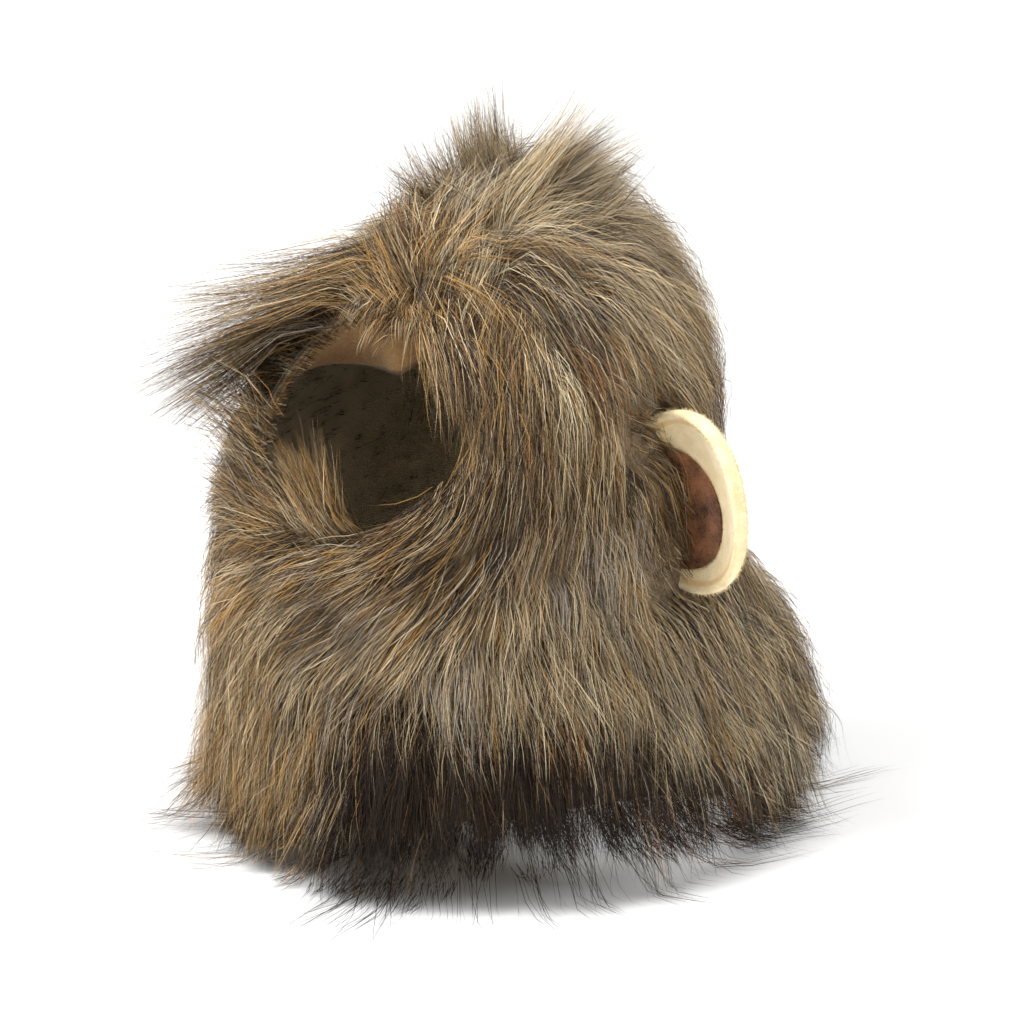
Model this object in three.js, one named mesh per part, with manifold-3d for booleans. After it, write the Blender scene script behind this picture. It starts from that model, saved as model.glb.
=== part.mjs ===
// A lion mane wig for a dog, standing on its neck hem as it does when nobody wears it.
// A knit cloth hood carries three sewn panels of long faux fur: the two sides, which meet along
// the crown and the back, and the bib under the chin. A tan facing turns in round the face
// opening, and two stuffed plush ears are sewn to the sides.
// Millimetres, +Z up. The face looks along -Y and the wearer's left is +X.
// The origin is the middle of the whole wig's outline, on the surface that it stands on.
import * as THREE from "three";
import { mergeVertices } from "three/addons/utils/BufferGeometryUtils.js";
import Module from "manifold-3d";

const wasm = await Module();
wasm.setup();

// Cloth hood
const HOOD_HEIGHT = 268;
const HEM_HALF_WIDTH = 100;
const HEM_FRONT = 124;
const HEM_BACK = 138;
const CLOTH_THICKNESS = 2;
const CLOTH_HEM_RISE = 4;
const SEAM_GAP = 0.4;

// Face opening, a tilted oval that looks forwards and up
const FACE_HALF_WIDTH = 54;
const FACE_HALF_HEIGHT = 51;
const FACE_CENTRE_HEIGHT = 200;
const FACE_TILT = THREE.MathUtils.degToRad(32.5);
const FACING_DEPTH = 28;
const FACING_THICKNESS = 1.6;

// Where the hem lifts off the ground between the front and the wearer's left
const LIFT_TURN = THREE.MathUtils.degToRad(50);
const LIFT_HALF_WIDTH = 66;
const LIFT_HEIGHT = 14;

// Fur panels
const PILE_DEPTH = 15;
const RIM_PILE_DEPTH = 5;
const HEM_PILE_DEPTH = 11;
const CROWN_PILE_DEPTH = 21;
const CHIN_ROLL = 7;
const BIB_HALF_WIDTH = 56;
const LOCK_LENGTH = 78;
const LOCK_HALF_WIDTH = 16;
const LOCK_HALF_THICKNESS = 5.5;
const LOCK_LIFT = 6;
const FLOOR_CLEARANCE = 0.6;

// Ears
const EAR_HALF_HEIGHT = 39.5;
const EAR_HALF_WIDTH = 33;
const EAR_THICKNESS = 9;
const EAR_DISH = 13;
const EAR_CURL = 9;
const EAR_REACH = 94.5;
const EAR_HEIGHT = 159.5;
const EAR_BACK = -8;
const EAR_TURN = THREE.MathUtils.degToRad(2);
const EAR_LEAN = THREE.MathUtils.degToRad(9);
const EAR_PATCH_SHARE = 0.7;
const EAR_PATCH_INWARD = 5;
const EAR_PATCH_THICKNESS = 1.8;
const EAR_POCKET = 1.2;

// How finely round shapes are faceted
const HOOD_COLUMNS = 26;
const HOOD_ROWS = 11;
const OPENING_SIDES = 22;
const EAR_SIDES = 16;
const LOCK_STATIONS = 5;
const FLOW_STEPS = 8;
const MERGE_DISTANCE = 1e-3;
const SMALLEST_DETAIL = 0.05;
const FUR_DETAIL = 0.4;

// The hood's cross-sections from hem to crown. Height, side, front and back are shares of
// HOOD_HEIGHT, HEM_HALF_WIDTH, HEM_FRONT and HEM_BACK, and square is how boxy the front half is.
const SECTIONS = [
  { name: "hem", height: 0.0, side: 1.0, front: 1.0, back: 1.0, square: 2.1 },
  { name: "cape", height: 0.22, side: 0.96, front: 0.9, back: 0.85, square: 2.3 },
  { name: "throat", height: 0.37, side: 0.91, front: 0.93, back: 0.6, square: 2.6 },
  { name: "nape", height: 0.52, side: 0.86, front: 1.0, back: 0.45, square: 2.8 },
  { name: "cheek", height: 0.65, side: 0.79, front: 1.01, back: 0.46, square: 2.9 },
  { name: "brow", height: 0.75, side: 0.7, front: 0.93, back: 0.48, square: 2.8 },
  { name: "forehead", height: 0.84, side: 0.57, front: 0.78, back: 0.46, square: 2.5 },
  { name: "crown", height: 0.92, side: 0.4, front: 0.56, back: 0.39, square: 2.3 },
  { name: "top", height: 0.98, side: 0.2, front: 0.3, back: 0.23, square: 2.0 },
  { name: "apex", height: 1.0, side: 0.0, front: 0.0, back: 0.0, square: 2.0 },
];
const APEX_ROW = SECTIONS.length - 1;

// The rows of overlapping locks. Row is a place between the sections, count how many go all the
// way round, turn the stagger as a share of one lock, length and width shares of the lock sizes.
// Every row leaves out the face opening.
const LOCK_ROWS = [
  { row: 0.9, count: 13, turn: 0.0, length: 0.64, width: 1.5 },
  { row: 2.1, count: 13, turn: 0.5, length: 1.1, width: 1.55 },
  { row: 3.5, count: 12, turn: 0.2, length: 1.1, width: 1.5 },
  { row: 5.1, count: 10, turn: 0.6, length: 1.1, width: 1.45 },
  { row: 6.7, count: 8, turn: 0.1, length: 1.0, width: 1.4 },
  { row: 8.0, count: 6, turn: 0.4, length: 0.8, width: 1.2 },
];

// Locks of the roll under the chin, combed sideways. Angle is in degrees.
const CHIN_LOCKS = [
  { angle: 26, row: 3.15, length: 1.0, width: 1.0 },
  { angle: 6, row: 3.3, length: 1.0, width: 0.9 },
  { angle: -12, row: 2.75, length: 1.0, width: 1.1 },
];

// Locks that stand off the hood. Angle is round the hood from the face to the wearer's left,
// and row a place between the sections. Heading and climb aim the lock, droop bends it down.
// All four are in degrees. Length and width are shares of the lock sizes.
const FREE_LOCKS = [
  { angle: -100, row: 8.6, heading: -20, climb: 74, droop: -8, length: 0.7, width: 0.8 },
  { angle: 60, row: 8.6, heading: 60, climb: 70, droop: 10, length: 0.55, width: 1.0 },
  { angle: 150, row: 8.4, heading: 120, climb: 60, droop: 10, length: 0.72, width: 1.0 },
  { angle: -160, row: 8.3, heading: 170, climb: 40, droop: 30, length: 0.7, width: 1.0 },
  { angle: -40, row: 7.8, heading: -50, climb: 14, droop: 40, length: 0.5, width: 1.1 },
  { angle: -36, row: 7.3, heading: -55, climb: -1, droop: 30, length: 1.05, width: 1.1 },
  { angle: -44, row: 6.7, heading: -52, climb: -8, droop: 26, length: 1.2, width: 1.1 },
  { angle: -54, row: 6.1, heading: -48, climb: -14, droop: 22, length: 0.95, width: 1.1 },
  { angle: -62, row: 5.3, heading: -50, climb: -26, droop: 40, length: 0.85, width: 1.0 },
  { angle: 4, row: 8.0, heading: -4, climb: -8, droop: 70, length: 0.5, width: 1.1 },
  { angle: 26, row: 7.6, heading: 4, climb: -12, droop: 90, length: 0.72, width: 1.0 },
  { angle: 40, row: 7.0, heading: 14, climb: -16, droop: 86, length: 0.84, width: 1.0 },
  { angle: 52, row: 6.3, heading: 26, climb: -20, droop: 80, length: 0.8, width: 1.0 },
  { angle: -8, row: 3.3, heading: -78, climb: 62, droop: 10, length: 0.55, width: 0.8 },
  { angle: -18, row: 3.5, heading: -80, climb: 50, droop: 10, length: 0.65, width: 0.9 },
  { angle: -30, row: 3.9, heading: -84, climb: 38, droop: 10, length: 0.55, width: 0.9 },
  { angle: 14, row: 0.5, heading: 12, climb: -44, droop: 30, length: 0.72, width: 1.0 },
  { angle: -14, row: 0.5, heading: -16, climb: -48, droop: 30, length: 0.6, width: 1.0 },
  { angle: -50, row: 0.6, heading: -60, climb: -30, droop: 30, length: 0.72, width: 0.9 },
  { angle: -84, row: 0.6, heading: -76, climb: -30, droop: 30, length: 0.6, width: 0.9 },
  { angle: 124, row: 0.6, heading: 120, climb: -26, droop: 30, length: 0.55, width: 1.1 },
  { angle: 150, row: 0.6, heading: 146, climb: -26, droop: 30, length: 0.5, width: 1.1 },
  { angle: -130, row: 0.6, heading: -130, climb: -26, droop: 30, length: 0.55, width: 1.1 },
];

const furMaterial = new THREE.MeshStandardMaterial({ color: 0x7b6a52, roughness: 0.9 });
const bibMaterial = new THREE.MeshStandardMaterial({ color: 0x86704f, roughness: 0.9 });
const clothMaterial = new THREE.MeshStandardMaterial({ color: 0x3b3124, roughness: 0.95 });
const facingMaterial = new THREE.MeshStandardMaterial({ color: 0xa98a5e, roughness: 0.95 });
const plushMaterial = new THREE.MeshStandardMaterial({ color: 0xf0d9a4, roughness: 0.95 });
const patchMaterial = new THREE.MeshStandardMaterial({ color: 0x53301c, roughness: 0.95 });

// Catmull-Rom between the sections, and a straight run-on below the hem.
function sectionAt(row) {
  const last = APEX_ROW;
  const low = THREE.MathUtils.clamp(Math.floor(row), 0, last - 1);
  const t = row - low;
  const [a, b, c, d] = [low - 1, low, low + 1, low + 2].map(
    (i) => SECTIONS[THREE.MathUtils.clamp(i, 0, last)],
  );
  const blend = (key) => {
    if (t < 0) return b[key] + (c[key] - b[key]) * t;
    const into = low === 0 ? c[key] - b[key] : (c[key] - a[key]) / 2;
    const out = low === last - 1 ? c[key] - b[key] : (d[key] - b[key]) / 2;
    const rise = c[key] - b[key];
    return b[key] + t * (into + t * (3 * rise - 2 * into - out + t * (into + out - 2 * rise)));
  };
  return {
    height: blend("height") * HOOD_HEIGHT,
    side: Math.max(blend("side"), 0) * HEM_HALF_WIDTH,
    front: Math.max(blend("front"), 0) * HEM_FRONT,
    back: Math.max(blend("back"), 0) * HEM_BACK,
    square: blend("square"),
  };
}

// A point of the cloth's outer face. Angle 0 is the face, and a quarter turn the left ear.
function hoodPoint(angle, row) {
  const s = sectionAt(row);
  const across = Math.sin(angle);
  const along = Math.cos(angle);
  const power = 2 / (along > 0 ? s.square : 2);
  const reach = along > 0 ? -s.front : s.back;
  return new THREE.Vector3(
    Math.sign(across) * Math.abs(across) ** power * s.side,
    reach * Math.abs(along) ** power,
    s.height,
  );
}

const ANGLE_STEP = 0.04;
const ROW_STEP = 0.04;

function hoodSlopes(angle, row) {
  const nearRow = Math.min(row, APEX_ROW - 2 * ROW_STEP);
  const round = hoodPoint(angle + ANGLE_STEP, nearRow)
    .sub(hoodPoint(angle - ANGLE_STEP, nearRow))
    .divideScalar(2 * ANGLE_STEP);
  const up = hoodPoint(angle, nearRow + ROW_STEP)
    .sub(hoodPoint(angle, nearRow - ROW_STEP))
    .divideScalar(2 * ROW_STEP);
  return { round, up, out: round.clone().cross(up).normalize() };
}

function offHood(angle, row, distance) {
  return hoodPoint(angle, row).addScaledVector(hoodSlopes(angle, row).out, distance);
}

// Face opening frame
const faceForward = new THREE.Vector3(0, -Math.cos(FACE_TILT), Math.sin(FACE_TILT));
const faceUp = new THREE.Vector3(0, Math.sin(FACE_TILT), Math.cos(FACE_TILT));
const faceRow = (() => {
  let row = 0;
  while (sectionAt(row).height < FACE_CENTRE_HEIGHT) row += ROW_STEP;
  return row;
})();
const faceCentre = new THREE.Vector3(
  0,
  -0.82 * sectionAt(faceRow).front,
  FACE_CENTRE_HEIGHT,
);

// Where a point lies in the face oval: 1 on its rim, under 1 inside. Low is below its middle.
function facePlace(point) {
  const from = point.clone().sub(faceCentre);
  const up = from.dot(faceUp) / FACE_HALF_HEIGHT;
  return { rim: Math.hypot(from.x / FACE_HALF_WIDTH, up), low: up < 0 && point.y < 0, front: point.y < 0 };
}

function pileDepth(angle, row) {
  const point = hoodPoint(angle, row);
  const place = facePlace(point);
  const fromRim = place.front ? THREE.MathUtils.smoothstep(place.rim, 1.0, 1.4) : 1;
  const fromHem = THREE.MathUtils.smoothstep(point.z, 0, 0.18 * HOOD_HEIGHT);
  const roll = place.low ? CHIN_ROLL * Math.exp(-(((place.rim - 1.45) / 0.28) ** 2)) : 0;
  const crown = THREE.MathUtils.smoothstep(row, APEX_ROW - 2, APEX_ROW - 0.5);
  const full = THREE.MathUtils.lerp(
    THREE.MathUtils.lerp(HEM_PILE_DEPTH, PILE_DEPTH, fromHem),
    CROWN_PILE_DEPTH,
    crown,
  );
  return THREE.MathUtils.lerp(RIM_PILE_DEPTH, full, fromRim) + roll;
}

// Closed surface through rings of points, with its ends drawn to a middle point each.
function loft(rings, startPole, endPole) {
  const count = rings[0].length;
  const corners = [startPole, ...rings.flat(), endPole];
  const index = [];
  const at = (ring, i) => 1 + ring * count + (i % count);
  for (let i = 0; i < count; i++) {
    index.push(0, at(0, i + 1), at(0, i));
    for (let ring = 0; ring < rings.length - 1; ring++) {
      const [a, b] = [at(ring, i), at(ring, i + 1)];
      const [c, d] = [at(ring + 1, i), at(ring + 1, i + 1)];
      index.push(a, b, d, a, d, c);
    }
    index.push(corners.length - 1, at(rings.length - 1, i), at(rings.length - 1, i + 1));
  }
  const geometry = new THREE.BufferGeometry().setFromPoints(corners);
  geometry.setIndex(index);
  return geometry;
}

function middleOf(ring) {
  return ring.reduce((sum, p) => sum.add(p), new THREE.Vector3()).divideScalar(ring.length);
}

function solidOf(geometry) {
  const bare = geometry.clone();
  bare.deleteAttribute("normal");
  bare.deleteAttribute("uv");
  const merged = mergeVertices(bare, MERGE_DISTANCE);
  const triVerts = new Uint32Array(merged.index.array);
  const make = () =>
    new wasm.Manifold(
      new wasm.Mesh({ numProp: 3, vertProperties: merged.attributes.position.array, triVerts }),
    );
  const solid = make();
  if (solid.volume() > 0) return solid;
  for (let i = 0; i < triVerts.length; i += 3) {
    [triVerts[i + 1], triVerts[i + 2]] = [triVerts[i + 2], triVerts[i + 1]];
  }
  return make();
}

function blockOf(low, high) {
  const size = high.clone().sub(low);
  const middle = high.clone().add(low).divideScalar(2);
  return solidOf(
    new THREE.BoxGeometry(size.x, size.y, size.z).translate(middle.x, middle.y, middle.z),
  );
}

// The largest body of a solid, without the slivers that a cut leaves.
function wholeOf(solid) {
  return solid.decompose().reduce((most, body) => (body.volume() > most.volume() ? body : most));
}

function geometryOf(solid) {
  const made = solid.getMesh();
  const geometry = new THREE.BufferGeometry();
  geometry.setAttribute("position", new THREE.BufferAttribute(made.vertProperties, 3));
  geometry.setIndex(new THREE.BufferAttribute(made.triVerts, 1));
  return geometry;
}

// Corners that are very near each other become one first, which can pinch a sliver off.
function meshOf(name, solid, material) {
  const geometry = geometryOf(wholeOf(solidOf(geometryOf(solid.simplify(SMALLEST_DETAIL)))));
  geometry.computeVertexNormals();
  const mesh = new THREE.Mesh(geometry, material);
  mesh.name = name;
  return mesh;
}

const FAR = 3 * HOOD_HEIGHT;
const hemLift = solidOf(
  new THREE.CylinderGeometry(1, 1, FAR, OPENING_SIDES)
    .translate(0, FAR / 2, 0)
    .scale(LIFT_HALF_WIDTH, 1, LIFT_HEIGHT)
    .rotateZ(Math.PI + LIFT_TURN),
);
const belowHem = blockOf(
  new THREE.Vector3(-FAR, -FAR, -FAR),
  new THREE.Vector3(FAR, FAR, 0),
).add(hemLift);

// The whole volume inside the hood's outer face, moved outwards by a distance at each place.
// It runs on below the hem, and is cut there last of all.
function hoodVolume(distanceAt) {
  const rings = [];
  const firstRow = -0.5;
  for (let i = 0; i < HOOD_ROWS; i++) {
    const row = firstRow + ((APEX_ROW - 0.25 - firstRow) * i) / (HOOD_ROWS - 1);
    const ring = [];
    for (let j = 0; j < HOOD_COLUMNS; j++) {
      const angle = (j / HOOD_COLUMNS) * 2 * Math.PI;
      ring.push(offHood(angle, row, distanceAt(angle, row)));
    }
    rings.push(ring);
  }
  const crown = hoodPoint(0, APEX_ROW);
  crown.z += distanceAt(0, APEX_ROW);
  return solidOf(loft(rings, middleOf(rings[0]), crown));
}

// The oval tunnel of the face opening, from behind the facing to well in front of the fur.
function faceTunnel(grown, behind) {
  const reach = HEM_FRONT + behind;
  const tunnel = new THREE.CylinderGeometry(1, 1, reach, OPENING_SIDES)
    .translate(0, reach / 2, 0)
    .scale(FACE_HALF_WIDTH + grown, 1, FACE_HALF_HEIGHT + grown);
  const axes = new THREE.Matrix4().makeBasis(
    new THREE.Vector3(1, 0, 0),
    faceForward,
    faceUp,
  );
  const start = faceCentre.clone().addScaledVector(faceForward, -behind);
  return solidOf(tunnel.applyMatrix4(axes.setPosition(start)));
}

const clothInside = -CLOTH_THICKNESS;
const facingOutside = clothInside - SEAM_GAP;
const tunnelBehind = 2 * FACING_DEPTH;
const faceHole = faceTunnel(0, tunnelBehind);

// The cloth's own hem is turned up a little inside the hem of the fur.
function hoodCloth() {
  return hoodVolume(() => 0)
    .subtract(hoodVolume(() => clothInside))
    .subtract(faceHole)
    .subtract(belowHem.translate(0, 0, CLOTH_HEM_RISE));
}

// The part of the inner skin that lies ahead of a plane behind the face opening.
function faceFacing() {
  const ahead = new THREE.BoxGeometry(FAR, FAR, FAR).translate(0, FAR / 2, 0);
  const axes = new THREE.Matrix4().makeBasis(
    new THREE.Vector3(1, 0, 0),
    faceForward,
    faceUp,
  );
  axes.setPosition(faceCentre.clone().addScaledVector(faceForward, -FACING_DEPTH));
  return wholeOf(
    hoodVolume(() => facingOutside)
      .subtract(hoodVolume(() => facingOutside - FACING_THICKNESS))
      .intersect(solidOf(ahead.applyMatrix4(axes)))
      .subtract(faceHole),
  );
}

// The way the fur is combed at a place on the hood: down and a little back, to both sides of
// the crown, and from the wearer's left to right in the roll under the chin.
function combAt(angle, row) {
  const point = hoodPoint(angle, row);
  const place = facePlace(point);
  const crown = THREE.MathUtils.smoothstep(row, APEX_ROW - 2.6, APEX_ROW - 0.6);
  const comb = new THREE.Vector3(0, 0.12, -1);
  comb.x += crown * 1.6 * Math.sign(point.x || 1);
  const chin = place.low ? THREE.MathUtils.smoothstep(1.95 - place.rim, 0, 0.55) : 0;
  comb.lerp(new THREE.Vector3(-1, 0, -0.25), chin);
  return comb;
}

// Moves a place on the hood by a distance along the comb.
function combed(place, distance) {
  const { round, up, out } = hoodSlopes(place.angle, place.row);
  const comb = combAt(place.angle, place.row);
  comb.addScaledVector(out, -comb.dot(out)).setLength(distance);
  const [rr, ru, uu] = [round.dot(round), round.dot(up), up.dot(up)];
  const [cr, cu] = [comb.dot(round), comb.dot(up)];
  const area = rr * uu - ru * ru;
  return {
    angle: place.angle + (cr * uu - cu * ru) / area,
    row: place.row + (cu * rr - cr * ru) / area,
  };
}

// Hair that would pass through the floor lies out along it instead.
function laidOnFloor(point, out) {
  const least = FLOOR_CLEARANCE + LOCK_HALF_THICKNESS * 0.4;
  if (point.z >= least) return point;
  const level = new THREE.Vector3(out.x, out.y, 0).normalize();
  return new THREE.Vector3(point.x, point.y, least).addScaledVector(
    level,
    0.9 * (least - point.z),
  );
}

const STATION_STEPS = FLOW_STEPS / (LOCK_STATIONS - 1);

// A lock's cross-section, in half-widths across and half-thicknesses over. A lying lock has its
// underside sunk in the mat, and a free lock is a flat diamond.
const LYING_SECTION = [
  { across: 1, over: -0.2 },
  { across: 0.15, over: 1 },
  { across: -1, over: -0.2 },
  { across: 0, over: -2.4 },
];
const FREE_SECTION = [
  { across: 1, over: 0 },
  { across: 0.2, over: 1 },
  { across: -1, over: 0 },
  { across: 0, over: -1 },
];

// How wide and thick a lock is from root to tip.
function lockShare(t) {
  return t < 0.3 ? 0.75 + 0.25 * (t / 0.3) : 1 - 0.9 * ((t - 0.3) / 0.7) ** 1.5;
}

function lockSolid(points, outs, halfWidth, section) {
  const last = points.length - 1;
  const rings = points.map((point, i) => {
    const along = points[Math.min(i + 1, last)].clone().sub(points[Math.max(i - 1, 0)]);
    const side = outs[i].clone().cross(along).normalize();
    const top = along.clone().cross(side).normalize();
    const share = lockShare(i / last);
    return section.map(({ across, over }) =>
      point
        .clone()
        .addScaledVector(side, across * halfWidth * share)
        .addScaledVector(top, over * LOCK_HALF_THICKNESS * share),
    );
  });
  return solidOf(loft(rings, middleOf(rings[0]), middleOf(rings[last])));
}

function combedLock({ angle, row, length, width }) {
  let place = { angle, row };
  const points = [];
  const outs = [];
  const step = (length * LOCK_LENGTH) / FLOW_STEPS;
  for (let i = 0; i <= FLOW_STEPS; i++) {
    const t = i / FLOW_STEPS;
    if (i % STATION_STEPS === 0) {
      const out = hoodSlopes(place.angle, place.row).out;
      const sunk = PILE_DEPTH * 0.5 * (1 - THREE.MathUtils.smoothstep(t, 0, 0.4));
      const height = pileDepth(place.angle, place.row) - sunk + LOCK_LIFT * t * t;
      points.push(laidOnFloor(offHood(place.angle, place.row, height), out));
      outs.push(out);
    }
    place = combed(place, step);
  }
  return lockSolid(points, outs, width * LOCK_HALF_WIDTH, LYING_SECTION);
}

function freeLock({ angle, row, heading, climb, droop, length, width }) {
  const rad = THREE.MathUtils.degToRad;
  const root = offHood(rad(angle), row, PILE_DEPTH * 0.45);
  const out = hoodSlopes(rad(angle), row).out;
  const points = [];
  const outs = [];
  const step = (length * LOCK_LENGTH) / FLOW_STEPS;
  const point = root.clone();
  for (let i = 0; i <= FLOW_STEPS; i++) {
    const t = i / FLOW_STEPS;
    const pitch = rad(climb - droop * t);
    const aim = new THREE.Vector3(
      Math.sin(rad(heading)) * Math.cos(pitch),
      -Math.cos(rad(heading)) * Math.cos(pitch),
      Math.sin(pitch),
    );
    if (i % STATION_STEPS === 0) {
      points.push(laidOnFloor(point.clone(), out));
      outs.push(aim.clone().cross(new THREE.Vector3(0, 0, 1)).cross(aim));
    }
    point.addScaledVector(aim, step);
  }
  return lockSolid(points, outs, width * LOCK_HALF_WIDTH, FREE_SECTION);
}

// Every lock with its root, so that each goes to the panel that it grows from.
function allLocks() {
  const locks = [];
  for (const line of LOCK_ROWS) {
    for (let i = 0; i < line.count; i++) {
      const angle = ((i + line.turn) / line.count) * 2 * Math.PI;
      const root = hoodPoint(angle, line.row);
      const place = facePlace(root);
      if (place.front && place.rim < 1.3) continue;
      locks.push({ root, solid: combedLock({ ...line, angle }) });
    }
  }
  for (const line of CHIN_LOCKS) {
    const angle = THREE.MathUtils.degToRad(line.angle);
    locks.push({ root: hoodPoint(angle, line.row), solid: combedLock({ ...line, angle }) });
  }
  for (const line of FREE_LOCKS) {
    const root = hoodPoint(THREE.MathUtils.degToRad(line.angle), line.row);
    locks.push({ root, solid: freeLock(line) });
  }
  return locks;
}

// Ear: a stuffed oval dish that curls forwards. Share is how much of the oval the piece covers,
// lift how far its face stands off the dish, and grown an allowance all round.
function earSurface(share, frontLift, thickness, grown, inward = 0) {
  const fullWidth = EAR_HALF_WIDTH * share + grown;
  const fullHeight = EAR_HALF_HEIGHT * share + grown;
  const steps = [
    { radius: 0.35, over: 0.0 },
    { radius: 0.68, over: 0.0 },
    { radius: 0.9, over: 0.0 },
    { radius: 1.0, over: 0.3 },
    { radius: 1.0, over: 0.75 },
    { radius: 0.88, over: 1.0 },
    { radius: 0.5, over: 1.0 },
  ];
  const dishAt = (x, y) => {
    const radius = Math.hypot(x / EAR_HALF_WIDTH, y / EAR_HALF_HEIGHT);
    return EAR_DISH * (1 - Math.min(radius, 1.1) ** 2.4) - EAR_CURL * (x / EAR_HALF_WIDTH) ** 2;
  };
  const place = (radius, turn, over) => {
    const x = Math.cos(turn) * fullWidth * radius + inward;
    const y = Math.sin(turn) * fullHeight * radius;
    const depth = dishAt(x, y) - frontLift - grown + over * (thickness + 2 * grown);
    return new THREE.Vector3(x, depth, y);
  };
  const rings = steps.map(({ radius, over }) => {
    const ring = [];
    for (let j = 0; j < EAR_SIDES; j++) {
      ring.push(place(radius, (j / EAR_SIDES) * 2 * Math.PI, over));
    }
    return ring;
  });
  return loft(rings, place(0, 0, 0), place(0, 0, 1));
}

// Stands the ear up on one side of the hood. Side is 1 for the wearer's left and -1 for right.
function earInPlace(geometry, side) {
  geometry.rotateY(-EAR_LEAN).rotateZ(-EAR_TURN).translate(EAR_REACH, EAR_BACK, EAR_HEIGHT);
  return solidOf(geometry.scale(side, 1, 1));
}

const hoodAndSeam = hoodVolume(() => SEAM_GAP);
const patchLift = EAR_PATCH_THICKNESS + SEAM_GAP;

function earShell(side) {
  return wholeOf(earInPlace(earSurface(1, 0, EAR_THICKNESS, 0), side).subtract(hoodAndSeam));
}

// The patch lies in the dish, and its back is cut to the shell's own facets.
function earPatch(side) {
  const oval = earSurface(EAR_PATCH_SHARE, patchLift, EAR_THICKNESS, 0, -EAR_PATCH_INWARD);
  const patch = earInPlace(oval, side);
  const shell = earInPlace(earSurface(1, SEAM_GAP, 2 * EAR_THICKNESS, 0), side);
  return wholeOf(patch.subtract(shell).subtract(hoodAndSeam));
}

// The room that the fur leaves for an ear and its patch.
function earPocket(side) {
  return earInPlace(earSurface(1, patchLift, EAR_THICKNESS + patchLift, EAR_POCKET), side);
}

// Fur: one thick mat over the cloth, cut into its panels, each with its own locks.
const furMat = hoodVolume(pileDepth).subtract(faceTunnel(0, tunnelBehind));
const locks = allLocks();
const earPockets = earPocket(1).add(earPocket(-1));

function bibBlock(grown) {
  return blockOf(
    new THREE.Vector3(-BIB_HALF_WIDTH - grown, -FAR, -FAR),
    new THREE.Vector3(BIB_HALF_WIDTH + grown, 0, FACE_CENTRE_HEIGHT + grown),
  );
}

function isOnBib(root) {
  return Math.abs(root.x) < BIB_HALF_WIDTH && root.y < 0 && root.z < FACE_CENTRE_HEIGHT;
}

function furPanel(keep, locksHere) {
  const withLocks = locksHere.reduce((mat, lock) => mat.add(lock.solid), furMat);
  const coarse = withLocks.simplify(FUR_DETAIL);
  return wholeOf(
    keep(coarse).subtract(belowHem).subtract(hoodAndSeam).subtract(earPockets),
  );
}

function sidePanel(side) {
  const edge = (side * SEAM_GAP) / 2;
  const otherSide = blockOf(
    new THREE.Vector3(Math.min(edge, -side * FAR), -FAR, -FAR),
    new THREE.Vector3(Math.max(edge, -side * FAR), FAR, FAR),
  );
  const keep = (solid) => solid.subtract(otherSide).subtract(bibBlock(SEAM_GAP));
  const mine = locks.filter(({ root }) => !isOnBib(root) && (root.x >= 0 ? 1 : -1) === side);
  return furPanel(keep, mine);
}

function bibPanel() {
  const block = bibBlock(0);
  return furPanel(
    (solid) => solid.intersect(block),
    locks.filter(({ root }) => isOnBib(root)),
  );
}

const wig = new THREE.Group();
wig.add(meshOf("hood_cloth", hoodCloth(), clothMaterial));
wig.add(meshOf("face_facing", faceFacing(), facingMaterial));
wig.add(meshOf("fur_left", sidePanel(1), furMaterial));
wig.add(meshOf("fur_right", sidePanel(-1), furMaterial));
wig.add(meshOf("fur_bib", bibPanel(), bibMaterial));
for (const [name, side] of [["left", 1], ["right", -1]]) {
  wig.add(meshOf(`ear_${name}`, earShell(side), plushMaterial));
  wig.add(meshOf(`ear_${name}_patch`, earPatch(side), patchMaterial));
}

const outline = new THREE.Box3().setFromObject(wig);
const middle = outline.getCenter(new THREE.Vector3());
wig.position.set(-middle.x, -middle.y, -outline.min.z);

export default wig;
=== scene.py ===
from math import cos, pi, radians, sin

import bmesh
import bpy
import numpy as np
from mathutils import Matrix, Vector
from mathutils.bvhtree import BVHTree


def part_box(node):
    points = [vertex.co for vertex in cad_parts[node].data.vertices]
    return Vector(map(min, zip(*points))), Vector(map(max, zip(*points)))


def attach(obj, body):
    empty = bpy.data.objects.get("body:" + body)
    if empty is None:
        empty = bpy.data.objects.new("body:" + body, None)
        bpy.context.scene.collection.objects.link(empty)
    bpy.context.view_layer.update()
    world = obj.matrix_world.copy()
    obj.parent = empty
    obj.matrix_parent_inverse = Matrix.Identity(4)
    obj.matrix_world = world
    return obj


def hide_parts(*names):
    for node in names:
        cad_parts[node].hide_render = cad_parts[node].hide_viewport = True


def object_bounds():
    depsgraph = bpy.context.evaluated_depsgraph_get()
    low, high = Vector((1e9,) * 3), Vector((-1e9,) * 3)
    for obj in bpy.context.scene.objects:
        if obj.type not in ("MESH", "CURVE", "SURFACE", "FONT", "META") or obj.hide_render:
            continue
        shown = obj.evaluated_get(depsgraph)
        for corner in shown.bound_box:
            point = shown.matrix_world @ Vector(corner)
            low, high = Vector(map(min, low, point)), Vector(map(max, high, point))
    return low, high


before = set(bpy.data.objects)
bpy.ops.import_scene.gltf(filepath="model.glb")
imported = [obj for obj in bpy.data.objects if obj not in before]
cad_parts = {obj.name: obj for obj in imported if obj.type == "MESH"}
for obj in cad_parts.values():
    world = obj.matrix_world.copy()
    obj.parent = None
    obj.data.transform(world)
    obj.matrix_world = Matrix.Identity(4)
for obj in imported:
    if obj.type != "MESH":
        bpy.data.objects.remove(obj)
cad_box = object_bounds()
scene = bpy.context.scene

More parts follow.
